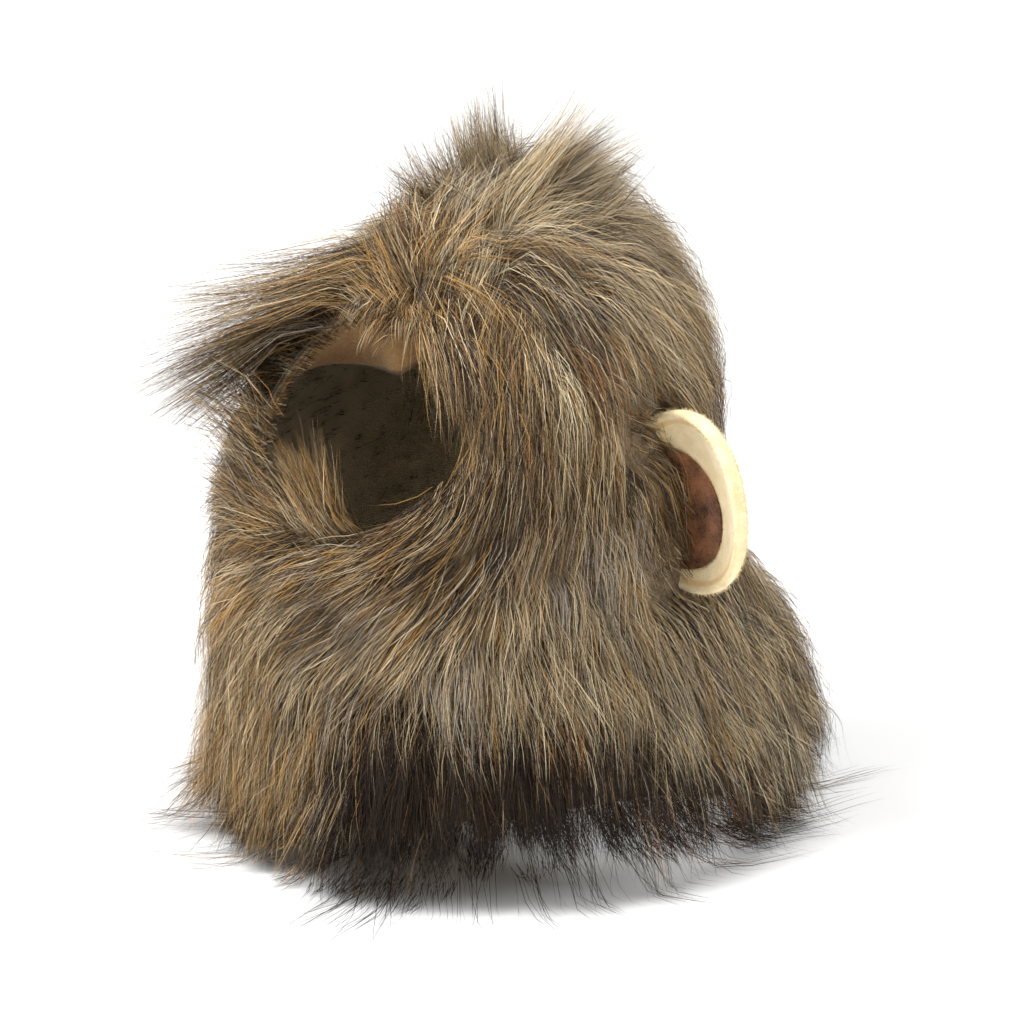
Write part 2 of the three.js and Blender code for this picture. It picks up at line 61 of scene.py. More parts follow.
# The table and the light. The wig stands on its hem on a white table top that runs back into a
# white room. The camera looks at it from the wearer's front left and a little from above,
# from far off through a long lens.
AXIS_TO_BACK = 0.1366
ears_middle = (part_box("ear_left")[1].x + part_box("ear_right")[0].x) / 2
HOOD_AXIS = np.array([ears_middle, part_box("hood_cloth")[1].y - AXIS_TO_BACK, 0.0])
CAMERA_TURN = radians(38)
CAMERA_RISE = radians(20)
CAMERA_DISTANCE = 8.0
PIXELS_PER_METRE = 2400
PICTURE_PIXELS = 1024
AIM_HEIGHT = 0.133
AIM_ASIDE = 0.00125
SENSOR_WIDTH = 36

toward_camera = Vector(
    (sin(CAMERA_TURN) * cos(CAMERA_RISE), -cos(CAMERA_TURN) * cos(CAMERA_RISE), sin(CAMERA_RISE))
)
to_the_right = Vector((cos(CAMERA_TURN), sin(CAMERA_TURN), 0))


def new_object(name, data):
    """A new object in the scene, with its camera, light or mesh."""
    made = bpy.data.objects.new(name, data)
    scene.collection.objects.link(made)
    return made


camera = new_object("camera", bpy.data.cameras.new("camera"))
scene.camera = camera
aim = Vector(HOOD_AXIS) + Vector((0, 0, AIM_HEIGHT)) - AIM_ASIDE * to_the_right
camera.location = aim + CAMERA_DISTANCE * toward_camera
camera.rotation_euler = toward_camera.to_track_quat("Z", "Y").to_euler()
camera.data.sensor_width = SENSOR_WIDTH
camera.data.lens = PIXELS_PER_METRE * CAMERA_DISTANCE / PICTURE_PIXELS * SENSOR_WIDTH
camera.data.clip_end = 100


def colour(code):
    """Linear red, green, blue and alpha of a colour given as a hexadecimal code."""
    values = [int(code[i : i + 2], 16) / 255 for i in (1, 3, 5)]
    return (*[v / 12.92 if v <= 0.04045 else ((v + 0.055) / 1.055) ** 2.4 for v in values], 1)


def new_material(name, roughness):
    """A material with its node tree and its main shader."""
    material = bpy.data.materials.new(name)
    material.use_nodes = True
    shader = material.node_tree.nodes["Principled BSDF"]
    shader.inputs["Roughness"].default_value = roughness
    return material, material.node_tree, shader


table_material, _, table_shader = new_material("white_table", 0.7)
table_shader.inputs["Base Color"].default_value = (0.93, 0.93, 0.93, 1)
table_mesh = bpy.data.meshes.new("table")
table_mesh.from_pydata([(-30, -30, 0), (30, -30, 0), (30, 30, 0), (-30, 30, 0)], [], [(0, 1, 2, 3)])
table_mesh.materials.append(table_material)
table = new_object("table", table_mesh)

room = bpy.data.worlds.new("white_room")
room.use_nodes = True
room.node_tree.nodes["Background"].inputs["Color"].default_value = (1, 1, 1, 1)
room.node_tree.nodes["Background"].inputs["Strength"].default_value = 0.5
scene.world = room
scene.view_settings.view_transform = "Standard"

SOFT_BOXES = [
    {"name": "key", "turn": -25, "rise": 52, "away": 1.6, "size": 0.7, "watts": 36},
    {"name": "fill", "turn": 95, "rise": 30, "away": 1.8, "size": 0.8, "watts": 12},
    {"name": "top", "turn": 170, "rise": 65, "away": 1.6, "size": 0.9, "watts": 14},
]
for box in SOFT_BOXES:
    light = new_object(box["name"], bpy.data.lights.new(box["name"], "AREA"))
    light.data.size = box["size"]
    light.data.energy = box["watts"]
    turn, rise = radians(box["turn"]), radians(box["rise"])
    toward = Vector((sin(turn) * cos(rise), -cos(turn) * cos(rise), sin(rise)))
    light.location = aim + box["away"] * toward
    light.rotation_euler = toward.to_track_quat("Z", "Y").to_euler()

# The hood cloth. A thin dark knit, cut and sewn to a dome that is open at the neck and at the
# face. All the fur is sewn to it, so it shows only inside the hood and at the rim of the face.
# Its colour is painted far lighter than the dark knit: painted light, standing in for the light
# that hardly reaches inside the hood.
HOOD_HEIGHT = 0.268
HEM_HALF_WIDTH = 0.100
HEM_FRONT = 0.124
HEM_BACK = 0.138
CLOTH_THICKNESS = 0.002
CLOTH_HEM_RISE = 0.025
CLOTH_COLUMNS = 120
CLOTH_ROWS = 60
NAP_ROUGHNESS = 0.9
FACE_HALF_WIDTH = 0.054
FACE_HALF_HEIGHT = 0.051
FACE_TILT = radians(32.5)
FACE_CENTRE = HOOD_AXIS + np.array([0, -0.1026, 0.200])
FACE_TUNNEL_BEHIND = 0.056
FACE_TUNNEL_AHEAD = 0.2
LIFT_TURN = radians(50)
LIFT_HALF_WIDTH = 0.066
LIFT_HEIGHT = 0.014
# Height, side, front and back are shares of the hood's height, half width, front and back, from
# the hem to the crown, and square is how boxy the front half is.
SECTIONS = np.array(
    [
        # height, side, front, back, square
        [0.00, 1.00, 1.00, 1.00, 2.1],
        [0.22, 0.96, 0.90, 0.85, 2.3],
        [0.37, 0.91, 0.93, 0.60, 2.6],
        [0.52, 0.86, 1.00, 0.45, 2.8],
        [0.65, 0.79, 1.01, 0.46, 2.9],
        [0.75, 0.70, 0.93, 0.48, 2.8],
        [0.84, 0.57, 0.78, 0.46, 2.5],
        [0.92, 0.40, 0.56, 0.39, 2.3],
        [0.98, 0.20, 0.30, 0.23, 2.0],
        [1.00, 0.00, 0.00, 0.00, 2.0],
    ]
)
APEX_ROW = len(SECTIONS) - 1
face_forward = np.array([0, -cos(FACE_TILT), sin(FACE_TILT)])
face_upward = np.array([0, sin(FACE_TILT), cos(FACE_TILT)])


def smoothstep(value, low, high):
    """0 up to the low bound and 1 from the high one, with a soft step between."""
    share = np.clip((value - low) / (high - low), 0, 1)
    return share * share * (3 - 2 * share)


def unit(vectors):
    """Vectors brought to a length of 1."""
    return vectors / np.maximum(np.linalg.norm(vectors, axis=-1, keepdims=True), 1e-9)


def section_at(row):
    """The section at a row of the table or part of the way to the next, on a smooth curve."""
    row = np.asarray(row, float)
    low = np.clip(np.floor(row).astype(int), 0, APEX_ROW - 1)
    t = (row - low)[..., None]
    before, start, end, after = (SECTIONS[np.clip(low + i, 0, APEX_ROW)] for i in (-1, 0, 1, 2))
    rise = end - start
    into = np.where((low == 0)[..., None], rise, (end - before) / 2)
    out = np.where((low == APEX_ROW - 1)[..., None], rise, (after - start) / 2)
    curve = start + t * (into + t * (3 * rise - 2 * into - out + t * (into + out - 2 * rise)))
    return np.where(t < 0, start + rise * t, curve)


def hood_point(angle, row):
    """A point of the cloth's outer face. Angle 0 is the face, a quarter turn the left ear."""
    angle, row = np.broadcast_arrays(angle, row)
    height, side, front, back, square = np.moveaxis(section_at(row), -1, 0)
    across, along = np.sin(angle), np.cos(angle)
    power = 2 / np.where(along > 0, square, 2.0)
    reach = np.where(along > 0, -np.maximum(front, 0) * HEM_FRONT, np.maximum(back, 0) * HEM_BACK)
    x = np.sign(across) * np.abs(across) ** power * np.maximum(side, 0) * HEM_HALF_WIDTH
    y = reach * np.abs(along) ** power
    return HOOD_AXIS + np.stack([x, y, height * HOOD_HEIGHT], -1)


def hood_ways(angle, row, step):
    """The ways round the hood and up it at a place, measured over a short step."""
    around = hood_point(angle + step, row) - hood_point(angle - step, row)
    return around, hood_point(angle, row + step) - hood_point(angle, row - step)


def hood_out(angle, row):
    """The way out of the cloth at a place on it."""
    return unit(np.cross(*hood_ways(angle, np.minimum(row, APEX_ROW - 0.08), 0.04)))


def hem_lift(points):
    """How far the hem stands off the table below a point."""
    across = (points[..., 0] - HOOD_AXIS[0]) * cos(LIFT_TURN)
    across += (points[..., 1] - HOOD_AXIS[1]) * sin(LIFT_TURN)
    along = (points[..., 0] - HOOD_AXIS[0]) * sin(LIFT_TURN)
    along -= (points[..., 1] - HOOD_AXIS[1]) * cos(LIFT_TURN)
    arch = np.sqrt(np.maximum(1 - (across / LIFT_HALF_WIDTH) ** 2, 0))
    return LIFT_HEIGHT * arch * (along > 0)


def skin_points(offset, columns, rows, hem_rise):
    """Rings of points at a distance from the cloth's outer face, from the hem to the crown."""
    angle = np.linspace(0, 2 * pi, columns, endpoint=False)
    hem_row = (hem_lift(hood_point(angle, 0.1)) + hem_rise) / (SECTIONS[1, 0] * HOOD_HEIGHT)
    share = np.linspace(0, 1, rows)[:, None]
    row = hem_row + (APEX_ROW - hem_row) * share
    angle = np.broadcast_to(angle, row.shape)
    out = hood_out(angle, row)
    distance = offset(hood_point(angle, row)) if callable(offset) else offset
    points = hood_point(angle, row) + out * np.reshape(distance, (*np.shape(distance), 1))
    points[-1] = points[-1].mean(0)
    return points


def tube_faces(rings, columns, first=0):
    """The four-sided faces between rings of points."""
    ring, column = np.meshgrid(np.arange(rings - 1), np.arange(columns), indexing="ij")
    a = first + ring * columns + column
    b = first + ring * columns + (column + 1) % columns
    return np.stack([a, b, b + columns, a + columns], -1).reshape(-1, 4)


def new_piece(name, points, faces, material, smooth=True):
    """A mesh object with doubled points joined and its faces turned outwards."""
    mesh = bpy.data.meshes.new(name)
    mesh.from_pydata(np.reshape(points, (-1, 3)).tolist(), [], [list(map(int, f)) for f in faces])
    shaping = bmesh.new()
    shaping.from_mesh(mesh)
    bmesh.ops.remove_doubles(shaping, verts=shaping.verts, dist=1e-6)
    bmesh.ops.recalc_face_normals(shaping, faces=shaping.faces)
    shaping.to_mesh(mesh)
    shaping.free()
    mesh.materials.append(material)
    mesh.polygons.foreach_set("use_smooth", [smooth] * len(mesh.polygons))
    return new_object(name, mesh)


def new_shell(name, outer, inner, material):
    """A closed wall between an outer and an inner skin of rings from the hem to the crown."""
    rings, columns = outer.shape[:2]
    points = np.concatenate([outer.reshape(-1, 3), inner.reshape(-1, 3)])
    first = rings * columns
    column = np.arange(columns)
    following = (column + 1) % columns
    hem = np.stack([column, first + column, first + following, following], -1)
    edge = hem[:, ::-1] + (rings - 1) * columns
    faces = [*tube_faces(rings, columns), *tube_faces(rings, columns, first)[:, ::-1], *hem]
    if np.ptp(outer[-1], axis=0).max() > 1e-6:
        faces += [*edge]
    return new_piece(name, points, faces, material)


def face_tunnel():
    """A cutter through the face opening, which is an oval tunnel."""
    turn = np.linspace(0, 2 * pi, 72, endpoint=False)
    ring = np.stack([FACE_HALF_WIDTH * np.cos(turn), FACE_HALF_HEIGHT * np.sin(turn)], -1)
    sheet = FACE_CENTRE + ring[:, :1] * np.array([1, 0, 0]) + ring[:, 1:] * face_upward
    behind, ahead = face_forward * FACE_TUNNEL_BEHIND, face_forward * FACE_TUNNEL_AHEAD
    count = len(turn)
    faces = [*tube_faces(2, count), list(range(count)), list(range(count, 2 * count))]
    return new_piece("cutter", np.stack([sheet - behind, sheet + ahead]), faces, table_material, False)


def cut(piece, cutter):
    """Takes a cutter's room out of a piece, and deletes the cutter."""
    step = piece.modifiers.new("cut", "BOOLEAN")
    step.object = cutter
    step.operation = "DIFFERENCE"
    step.solver = "EXACT"
    bpy.context.view_layer.objects.active = piece
    bpy.ops.object.modifier_apply(modifier=step.name)
    bpy.data.objects.remove(cutter)


def stand_for(piece, slot, *nodes):
    """Puts a piece in the place of its solids. The slot is not used."""
    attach(piece, "root")
    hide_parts(*nodes)


def add(tree, kind, settings=None, **sockets):
    """A shader node with its settings, and its sockets linked or filled by name."""
    made = tree.nodes.new(kind)
    for name, value in (settings or {}).items():
        setattr(made, name, value)
    for name, value in sockets.items():
        number = name[1:] if name[0] == "i" and name[1:].isdigit() else None
        socket = made.inputs[int(number) if number else name.replace("_", " ")]
        if isinstance(value, bpy.types.NodeSocket):
            tree.links.new(value, socket)
        else:
            socket.default_value = value
    return made


def worked(tree, operation, *values):
    """What a Math node makes of one, two or three values."""
    sockets = {f"i{number}": value for number, value in enumerate(values)}
    return add(tree, "ShaderNodeMath", {"operation": operation}, **sockets).outputs[0]


def spread(tree, value, low, high, to_low=0.0, to_high=1.0, kind="SMOOTHSTEP"):
    """A value between two bounds, spread over the range from to_low to to_high."""
    settings = {"interpolation_type": kind}
    bounds = {"From_Min": low, "From_Max": high, "To_Min": to_low, "To_Max": to_high}
    return add(tree, "ShaderNodeMapRange", settings, Value=value, **bounds).outputs["Result"]


def mixed(tree, share, first, second, kind="MIX"):
    """Two colours mixed by a share."""
    settings = {"data_type": "RGBA", "blend_type": kind}
    return add(tree, "ShaderNodeMix", settings, i0=share, i6=first, i7=second).outputs[2]


def new_group(name, inputs, outputs):
    """A shader node group with named sockets, and its input and output nodes."""
    group = bpy.data.node_groups.new(name, "ShaderNodeTree")
    for label, kind, value in inputs:
        group.interface.new_socket(label, in_out="INPUT", socket_type=kind).default_value = value
    for label, kind in outputs:
        group.interface.new_socket(label, in_out="OUTPUT", socket_type=kind)
    return group, group.nodes.new("NodeGroupInput"), group.nodes.new("NodeGroupOutput")


# Short nap and knit both come out as a height and a mottle of two colours.
nap_group, nap_in, nap_out = new_group(
    "short_nap",
    [
        ("Ground", "NodeSocketColor", (0.5, 0.5, 0.5, 1)),
        ("Highlight", "NodeSocketColor", (0.8, 0.8, 0.8, 1)),
        ("Fibre Scale", "NodeSocketFloat", 900),
        ("Patch Scale", "NodeSocketFloat", 60),
        ("Rib Scale", "NodeSocketFloat", 0),
    ],
    [("Color", "NodeSocketColor"), ("Height", "NodeSocketFloat")],
)
place = add(nap_group, "ShaderNodeTexCoord").outputs["Object"]
fibre, patch = (
    add(nap_group, "ShaderNodeTexNoise", Vector=place, Scale=nap_in.outputs[scale], Detail=detail)
    for scale, detail in (("Fibre Scale", 4), ("Patch Scale", 3))
)
rib = add(
    nap_group,
    "ShaderNodeTexWave",
    {"wave_type": "BANDS", "bands_direction": "Z"},
    Vector=place,
    Scale=nap_in.outputs["Rib Scale"],
    Distortion=1.5,
)
mottle = worked(nap_group, "MULTIPLY_ADD", fibre.outputs["Fac"], 0.6, patch.outputs["Fac"])
light_share = spread(nap_group, mottle, 0.55, 1.05, kind="LINEAR")
mottled = mixed(nap_group, light_share, nap_in.outputs["Ground"], nap_in.outputs["Highlight"])
relief = worked(nap_group, "MULTIPLY_ADD", rib.outputs["Fac"], 0.5, fibre.outputs["Fac"])
nap_group.links.new(mottled, nap_out.inputs["Color"])
nap_group.links.new(relief, nap_out.inputs["Height"])


def napped_material(name, ground, highlight, fibre, patch, rib, depth):
    """Cloth with a short nap, in two colours, with the scales of its fibres, patches and ribs."""
    material, tree, shader = new_material(name, NAP_ROUGHNESS)
    nap = add(
        tree,
        "ShaderNodeGroup",
        {"node_tree": nap_group},
        Ground=colour(ground),
        Highlight=colour(highlight),
        Fibre_Scale=fibre,
        Patch_Scale=patch,
        Rib_Scale=rib,
    )
    bump = add(tree, "ShaderNodeBump", Distance=depth, Height=nap.outputs["Height"])
    tree.links.new(nap.outputs["Color"], shader.inputs["Base Color"])
    tree.links.new(bump.outputs["Normal"], shader.inputs["Normal"])
    shader.inputs["Sheen Weight"].default_value = 0.25
    shader.inputs["Sheen Roughness"].default_value = 0.5
    shader.inputs["Specular IOR Level"].default_value = 0.15
    return material


# Painted light: both knit colours are far lighter than the real dark knit, so the inside of the hood shows
# lit.
knit_painted_light_material = napped_material("dark_knit_painted_lighter", "#9c8b6a", "#bba983", 1400, 45, 330, 0.0006)
hood_cloth = new_shell(
    "hood_cloth_knit",
    skin_points(0, CLOTH_COLUMNS, CLOTH_ROWS, CLOTH_HEM_RISE),
    skin_points(-CLOTH_THICKNESS, CLOTH_COLUMNS, CLOTH_ROWS, CLOTH_HEM_RISE),
    knit_painted_light_material,
)
cut(hood_cloth, face_tunnel())
stand_for(hood_cloth, "knit_backing", "hood_cloth")

# The facing. A band of tan short-napped cloth, sewn to the rim of the face opening and turned
# in, so that the rim is soft against the wearer's cheeks. Its loose edge hangs down inside the
# top of the opening on the wearer's right.
SEAM_GAP = 0.0004
FACING_DEPTH = 0.026
FACING_THICKNESS = 0.0016
FACING_DROOP = 0.40
DROOP_TURN = radians(110)
DROOP_WIDTH = radians(31)
NARROW_TURNS = [radians(turn) for turn in (132, 165, 215, 250)]
NARROW_SHARE = 0.78
FACING_FLARE = 0.06
FACING_RIPPLE = 0.02
tan_material = napped_material("tan_facing", "#83613a", "#b48e5e", 900, 50, 0, 0.0005)

skin_angle, skin_row = np.meshgrid(
    np.linspace(0, 2 * pi, CLOTH_COLUMNS, endpoint=False), np.linspace(-0.7, APEX_ROW, 110)
)
hood_tree = BVHTree.FromPolygons(
    hood_point(skin_angle, skin_row).reshape(-1, 3).tolist(),
    tube_faces(110, CLOTH_COLUMNS).tolist(),
    epsilon=0,
)


def below(value, full, none):
    """1 up to the bound named full, then a soft step down to 0 at the one named none."""
    return smoothstep(-value, -none, -full)


def between(value, start, risen, falls, end):
    """A soft step up from start and, past a level stretch, a soft step down to end."""
    return smoothstep(value, start, risen) * below(value, falls, end)


def on_hood_ahead(points, found):
    """Where lines through points, along the face tunnel, meet the hood, or how far along."""
    starts = points + FACE_TUNNEL_AHEAD * face_forward
    return np.array([hood_tree.ray_cast(start, -face_forward)[found] for start in starts])


def face_oval(turn, share):
    """Points round the face oval, at a share of its size."""
    aside = FACE_CENTRE + np.outer(share * np.cos(turn) * FACE_HALF_WIDTH, [1, 0, 0])
    return aside + np.outer(share * np.sin(turn) * FACE_HALF_HEIGHT, face_upward)


def facing_skin(inset):
    """Rings of the facing from the rim to its loose edge, a little way inside the opening."""
    turn = np.linspace(0, 2 * pi, 144, endpoint=False)
    share = np.linspace(0, 1, 14)[:, None]
    droop = np.exp(-((((turn - DROOP_TURN + pi) % (2 * pi) - pi) / DROOP_WIDTH) ** 2))
    ripple = FACING_RIPPLE * np.sin(5 * turn + 1) * share**2
    narrow = NARROW_SHARE * between(turn, *NARROW_TURNS)
    oval = 1.0 + FACING_FLARE * share - FACING_DROOP * droop * share**1.4 + ripple
    across = np.cos(turn) * (oval * FACE_HALF_WIDTH - inset)
    along = np.sin(turn) * (oval * FACE_HALF_HEIGHT - inset)
    depth = FACE_TUNNEL_AHEAD - on_hood_ahead(face_oval(turn, 1), 3) - CLOTH_THICKNESS - SEAM_GAP
    depth = depth - share * FACING_DEPTH * (1 - narrow)
    points = FACE_CENTRE + across[..., None] * np.array([1, 0, 0])
    return points + along[..., None] * face_upward + depth[..., None] * face_forward


facing = new_shell("face_facing_cloth", facing_skin(0), facing_skin(FACING_THICKNESS), tan_material)
stand_for(facing, "facing_cloth", "face_facing")

# The ears. Each is a flat oval pad of cream plush, sewn right side in, turned, lightly stuffed
# and stitched round near its edge, which makes it curl forwards into a dish. An oval of brown
# plush is sewn in the dish. The ears are hand-sewn to the sides of the hood.
EAR_HALF_HEIGHT = 0.0395
EAR_HALF_WIDTH = 0.033
EAR_THICKNESS = 0.009
EAR_DISH = 0.013
EAR_CURL = 0.009
EAR_REACH = 0.0945
EAR_HEIGHT = 0.1595
EAR_BACK = -0.008
EAR_TURN = radians(2)
EAR_LEAN = radians(9)
EAR_PATCH_SHARE = 0.68
EAR_PATCH_INWARD = 0.0125
EAR_PATCH_DROP = 0.0025
EAR_PATCH_THICKNESS = 0.0018
EAR_PATCH_LEAN = 0.25
EAR_PATCH_GAP = 0.0003
EAR_SEAM_IN = 0.88
EAR_SEAM_DEPTH = 0.0009
EAR_SEAM_WIDTH = 0.03
EAR_NAP_LENGTH = 0.0016
EAR_NAP_HALF_WIDTH = 0.00009
SEED = 1525
STUFFING_STEPS = 12
STUFFING_REACH = 0.0012
STUFFING = {
    "quality": 5,
    "mass": 0.2,
    "tension_stiffness": 12,
    "compression_stiffness": 12,
    "bending_stiffness": 4,
    "use_pressure": True,
    "uniform_pressure_force": 5,
}


def ear_matrix(side):
    """Where an ear is sewn on. Side is 1 for the wearer's left and -1 for the right."""
    place = Matrix.Translation(Vector(HOOD_AXIS) + Vector((side * EAR_REACH, EAR_BACK, EAR_HEIGHT)))
    turn = Matrix.Rotation(-side * EAR_TURN, 4, "Z")
    return place @ turn @ Matrix.Rotation(-side * EAR_LEAN, 4, "Y")


def dish_at(x, z):
    """How far the ear's face lies behind the plane of its edge."""
    radius = np.minimum(np.hypot(x / EAR_HALF_WIDTH, z / EAR_HALF_HEIGHT), 1.1)
    return EAR_DISH * (1 - radius**2.4) - EAR_CURL * (x / EAR_HALF_WIDTH) ** 2


def ear_rings(share, lift, thickness, inward, drop, lean):
    """Rings of an oval pad in the dish, from the middle of its face round to its back."""
    flat = np.linspace(0, 0.9, 16)
    bend = np.linspace(-pi / 2, pi / 2, 11)[1:-1]
    radius = np.concatenate([flat, 0.9 + 0.1 * np.cos(bend), flat[::-1]])[:, None]
    over = np.concatenate([0 * flat, 0.5 + 0.5 * np.sin(bend), 0 * flat + 1])[:, None]
    turn = np.linspace(0, 2 * pi, 96, endpoint=False)
    x = np.cos(turn) * EAR_HALF_WIDTH * share * radius + inward
    z = np.sin(turn) * EAR_HALF_HEIGHT * share * radius - drop
    x = x - lean * z
    depth = dish_at(x, z) - lift + over * thickness
    return np.stack([x, depth, z], -1)


def hood_solid():
    """The room inside the hood's outer seam, from below the table to the crown."""
    columns, rows = 96, 60
    faces = [*tube_faces(rows, columns), list(range(columns))]
    rings = skin_points(SEAM_GAP, columns, rows, -0.02)
    return new_piece("cutter", rings, faces, table_material, False)


def ear_nap(name, points, faces, side, material, count):
    """The short fibres of the plush, each one fine triangle that leans a little downwards."""
    corners = points[np.array([face if len(face) == 4 else (*face, face[-1]) for face in faces])]
    across = corners[:, 2] - corners[:, 0]
    away = np.cross(across, corners[:, 3] - corners[:, 1])
    area = np.linalg.norm(away, axis=1)
    pick = rng.choice(len(faces), count, p=area / area.sum())
    s, t = rng.uniform(0, 1, (2, count, 1))
    a, b, c, d = (corners[pick, i] for i in range(4))
    foot = a * (1 - s) * (1 - t) + b * s * (1 - t) + c * s * t + d * (1 - s) * t
    middle = corners.mean((0, 1))
    there = np.array(ear_matrix(side))
    placed = foot @ there[:3, :3].T + there[:3, 3]
    found = [hood_tree.find_nearest(p) for p in placed]
    clear = np.array([(Vector(p) - f[0]).dot(f[1]) > 0.001 for p, f in zip(placed, found)])
    out = unit(away)[pick] * np.sign(np.sum(away[pick] * (foot - middle), 1, keepdims=True))
    lean = unit(rng.normal(0, 1, (count, 3))) * 0.5 + np.array([0, 0, -0.35])
    tip = foot + unit(out + lean) * EAR_NAP_LENGTH * rng.uniform(0.6, 1.2, (count, 1))
    width = unit(np.cross(tip - foot, rng.normal(0, 1, (count, 3)))) * EAR_NAP_HALF_WIDTH
    points = np.stack([foot - width, foot + width, tip], 1)[clear]
    count = len(points)
    nap = new_object(name, bpy.data.meshes.new(name))
    nap.data.from_pydata(points.reshape(-1, 3), [], np.arange(3 * count).reshape(-1, 3).tolist())
    nap.data.materials.append(material)
    nap.matrix_world = ear_matrix(side)
    return nap


rng = np.random.default_rng(SEED)
cream_material = napped_material("cream_plush", "#e8d2a0", "#fae7c0", 1200, 160, 0, 0.0004)
brown_material = napped_material("brown_plush", "#2c190b", "#9a6541", 1200, 120, 0, 0.0005)


def stuffed(rings, material):
    """The pad blown up a little by its stuffing, as simulated cloth, then drawn in at its seam."""
    pad = new_piece("stuffing", rings, tube_faces(len(rings), rings.shape[1]), material)
    shape = np.array([v.co for v in pad.data.vertices])
    cloth = pad.modifiers.new("stuffing", "CLOTH")
    for name, value in STUFFING.items():
        setattr(cloth.settings, name, value)
    cloth.settings.effector_weights.gravity = 0
    for frame_number in range(1, STUFFING_STEPS + 1):
        scene.frame_set(frame_number)
    settled = pad.evaluated_get(bpy.context.evaluated_depsgraph_get()).data
    moved = np.array([v.co for v in settled.vertices]) - shape
    far = np.linalg.norm(moved, axis=1, keepdims=True)
    moved *= np.minimum(STUFFING_REACH / np.maximum(far, 1e-9), 1)
    pad.modifiers.remove(cloth)
    scene.frame_set(1)
    puffed = shape + moved
    radius = np.hypot(shape[:, 0] / EAR_HALF_WIDTH, shape[:, 2] / EAR_HALF_HEIGHT)
    front = shape[:, 1] < dish_at(shape[:, 0], shape[:, 2]) + EAR_THICKNESS / 2
    groove = EAR_SEAM_DEPTH * np.exp(-(((radius - EAR_SEAM_IN) / EAR_SEAM_WIDTH) ** 2))
    puffed[:, 1] += np.where(front, groove, -groove)
    faces = [tuple(face.vertices) for face in pad.data.polygons]
    bpy.data.objects.remove(pad)
    return puffed, faces


# The seam is a line of golden thread a little way in from the edge of the pad.
seam_tree = cream_material.node_tree
cream_shader = seam_tree.nodes["Principled BSDF"]
plush_colour = cream_shader.inputs["Base Color"].links[0].from_socket
seam_share = add(
    seam_tree,
    "ShaderNodeVectorMath",
    {"operation": "MULTIPLY"},
    i0=add(seam_tree, "ShaderNodeTexCoord").outputs["Object"],
    i1=(1 / EAR_HALF_WIDTH, 0, 1 / EAR_HALF_HEIGHT),
).outputs[0]
seam_radius = add(seam_tree, "ShaderNodeVectorMath", {"operation": "LENGTH"}, i0=seam_share)
past_seam = worked(seam_tree, "SUBTRACT", seam_radius.outputs["Value"], EAR_SEAM_IN)
off_seam = worked(seam_tree, "ABSOLUTE", past_seam)
on_seam = spread(seam_tree, off_seam, 0.008, 0.045, 0.55, 0.0)
with_seam = mixed(seam_tree, on_seam, plush_colour, colour("#dcae68"))
seam_tree.links.new(with_seam, cream_shader.inputs["Base Color"])

shell_points, shell_faces = stuffed(ear_rings(1, 0, EAR_THICKNESS, 0, 0, 0), cream_material)
patch_rings = ear_rings(
    EAR_PATCH_SHARE,
    EAR_PATCH_THICKNESS + EAR_PATCH_GAP,
    EAR_PATCH_THICKNESS,
    -EAR_PATCH_INWARD,
    EAR_PATCH_DROP,
    EAR_PATCH_LEAN,
)
patch_faces = tube_faces(len(patch_rings), patch_rings.shape[1])
EAR_PIECES = [
    # name, end of the node's name, slot, points, faces, material, fibres of nap
    ("cream_pad", "", "cream_plush", shell_points, shell_faces, cream_material, 12000),
    ("brown_oval", "_patch", "brown_plush", patch_rings.reshape(-1, 3), patch_faces, brown_material, 8000),
]
for side, side_name in ((1, "left"), (-1, "right")):
    for name, ending, slot, points, faces, material, fibres in EAR_PIECES:
        placed = points * np.array([side, 1, 1])
        piece = new_piece(f"ear_{side_name}_{name}", placed, faces, material)
        piece.matrix_world = ear_matrix(side)
        nap = ear_nap(f"ear_{side_name}_{name}_nap", placed, faces, side, material, fibres)
        cut(piece, hood_solid())
        for made in (piece, nap):
            stand_for(made, slot, f"ear_{side_name}{ending}")

# The underfur. The dense short wool at the foot of the long pile, which closes the gaps between
# the long hairs. It is thin at the rim of the face and has a roll below the chin. Its colour is
# the wool's own, darkened with painted shade for the shade deep in the pile.
PILE_DEPTH = 0.015
RIM_PILE_DEPTH = 0.005
HEM_PILE_DEPTH = 0.011
CROWN_PILE_DEPTH = 0.021
CHIN_ROLL = 0.007
CHIN_ROLL_AT = 1.45
CHIN_ROLL_WIDTH = 0.28
RIM_PILE_TO = 1.4
HEM_PILE_TO = 0.048
CROWN_PILE_FROM = 0.248
CROWN_PILE_FULL = 0.266
EAR_DIP = 0.6
UNDERFUR_SHARE = 0.22
UNDERFUR_HEM_RISE = 0.027
UNDERFUR_COLUMNS = 128
UNDERFUR_ROWS = 64


def face_place(points):
    """Where points lie in the face oval, 1 at its rim, and whether below its middle."""
    away = points - FACE_CENTRE
    up = (away[..., 1] * sin(FACE_TILT) + away[..., 2] * cos(FACE_TILT)) / FACE_HALF_HEIGHT
    front = points[..., 1] < HOOD_AXIS[1]
    rim = np.where(front, np.hypot(away[..., 0] / FACE_HALF_WIDTH, up), 9)
    return rim, (up < 0) & front


def beside_ear(points):
    """How near points of the hood are to the root of an ear, from 0 to 1."""
    near = np.zeros(points.shape[:-1])
    for side in (1, -1):
        into = np.array(ear_matrix(side).inverted())
        local = points @ into[:3, :3].T + into[:3, 3]
        x, z = side * local[..., 0] / EAR_HALF_WIDTH, local[..., 2] / EAR_HALF_HEIGHT
        near = np.maximum(near, np.exp(-((np.hypot(0.7 * (x + 0.9), z) / 1.1) ** 4)))
    return near


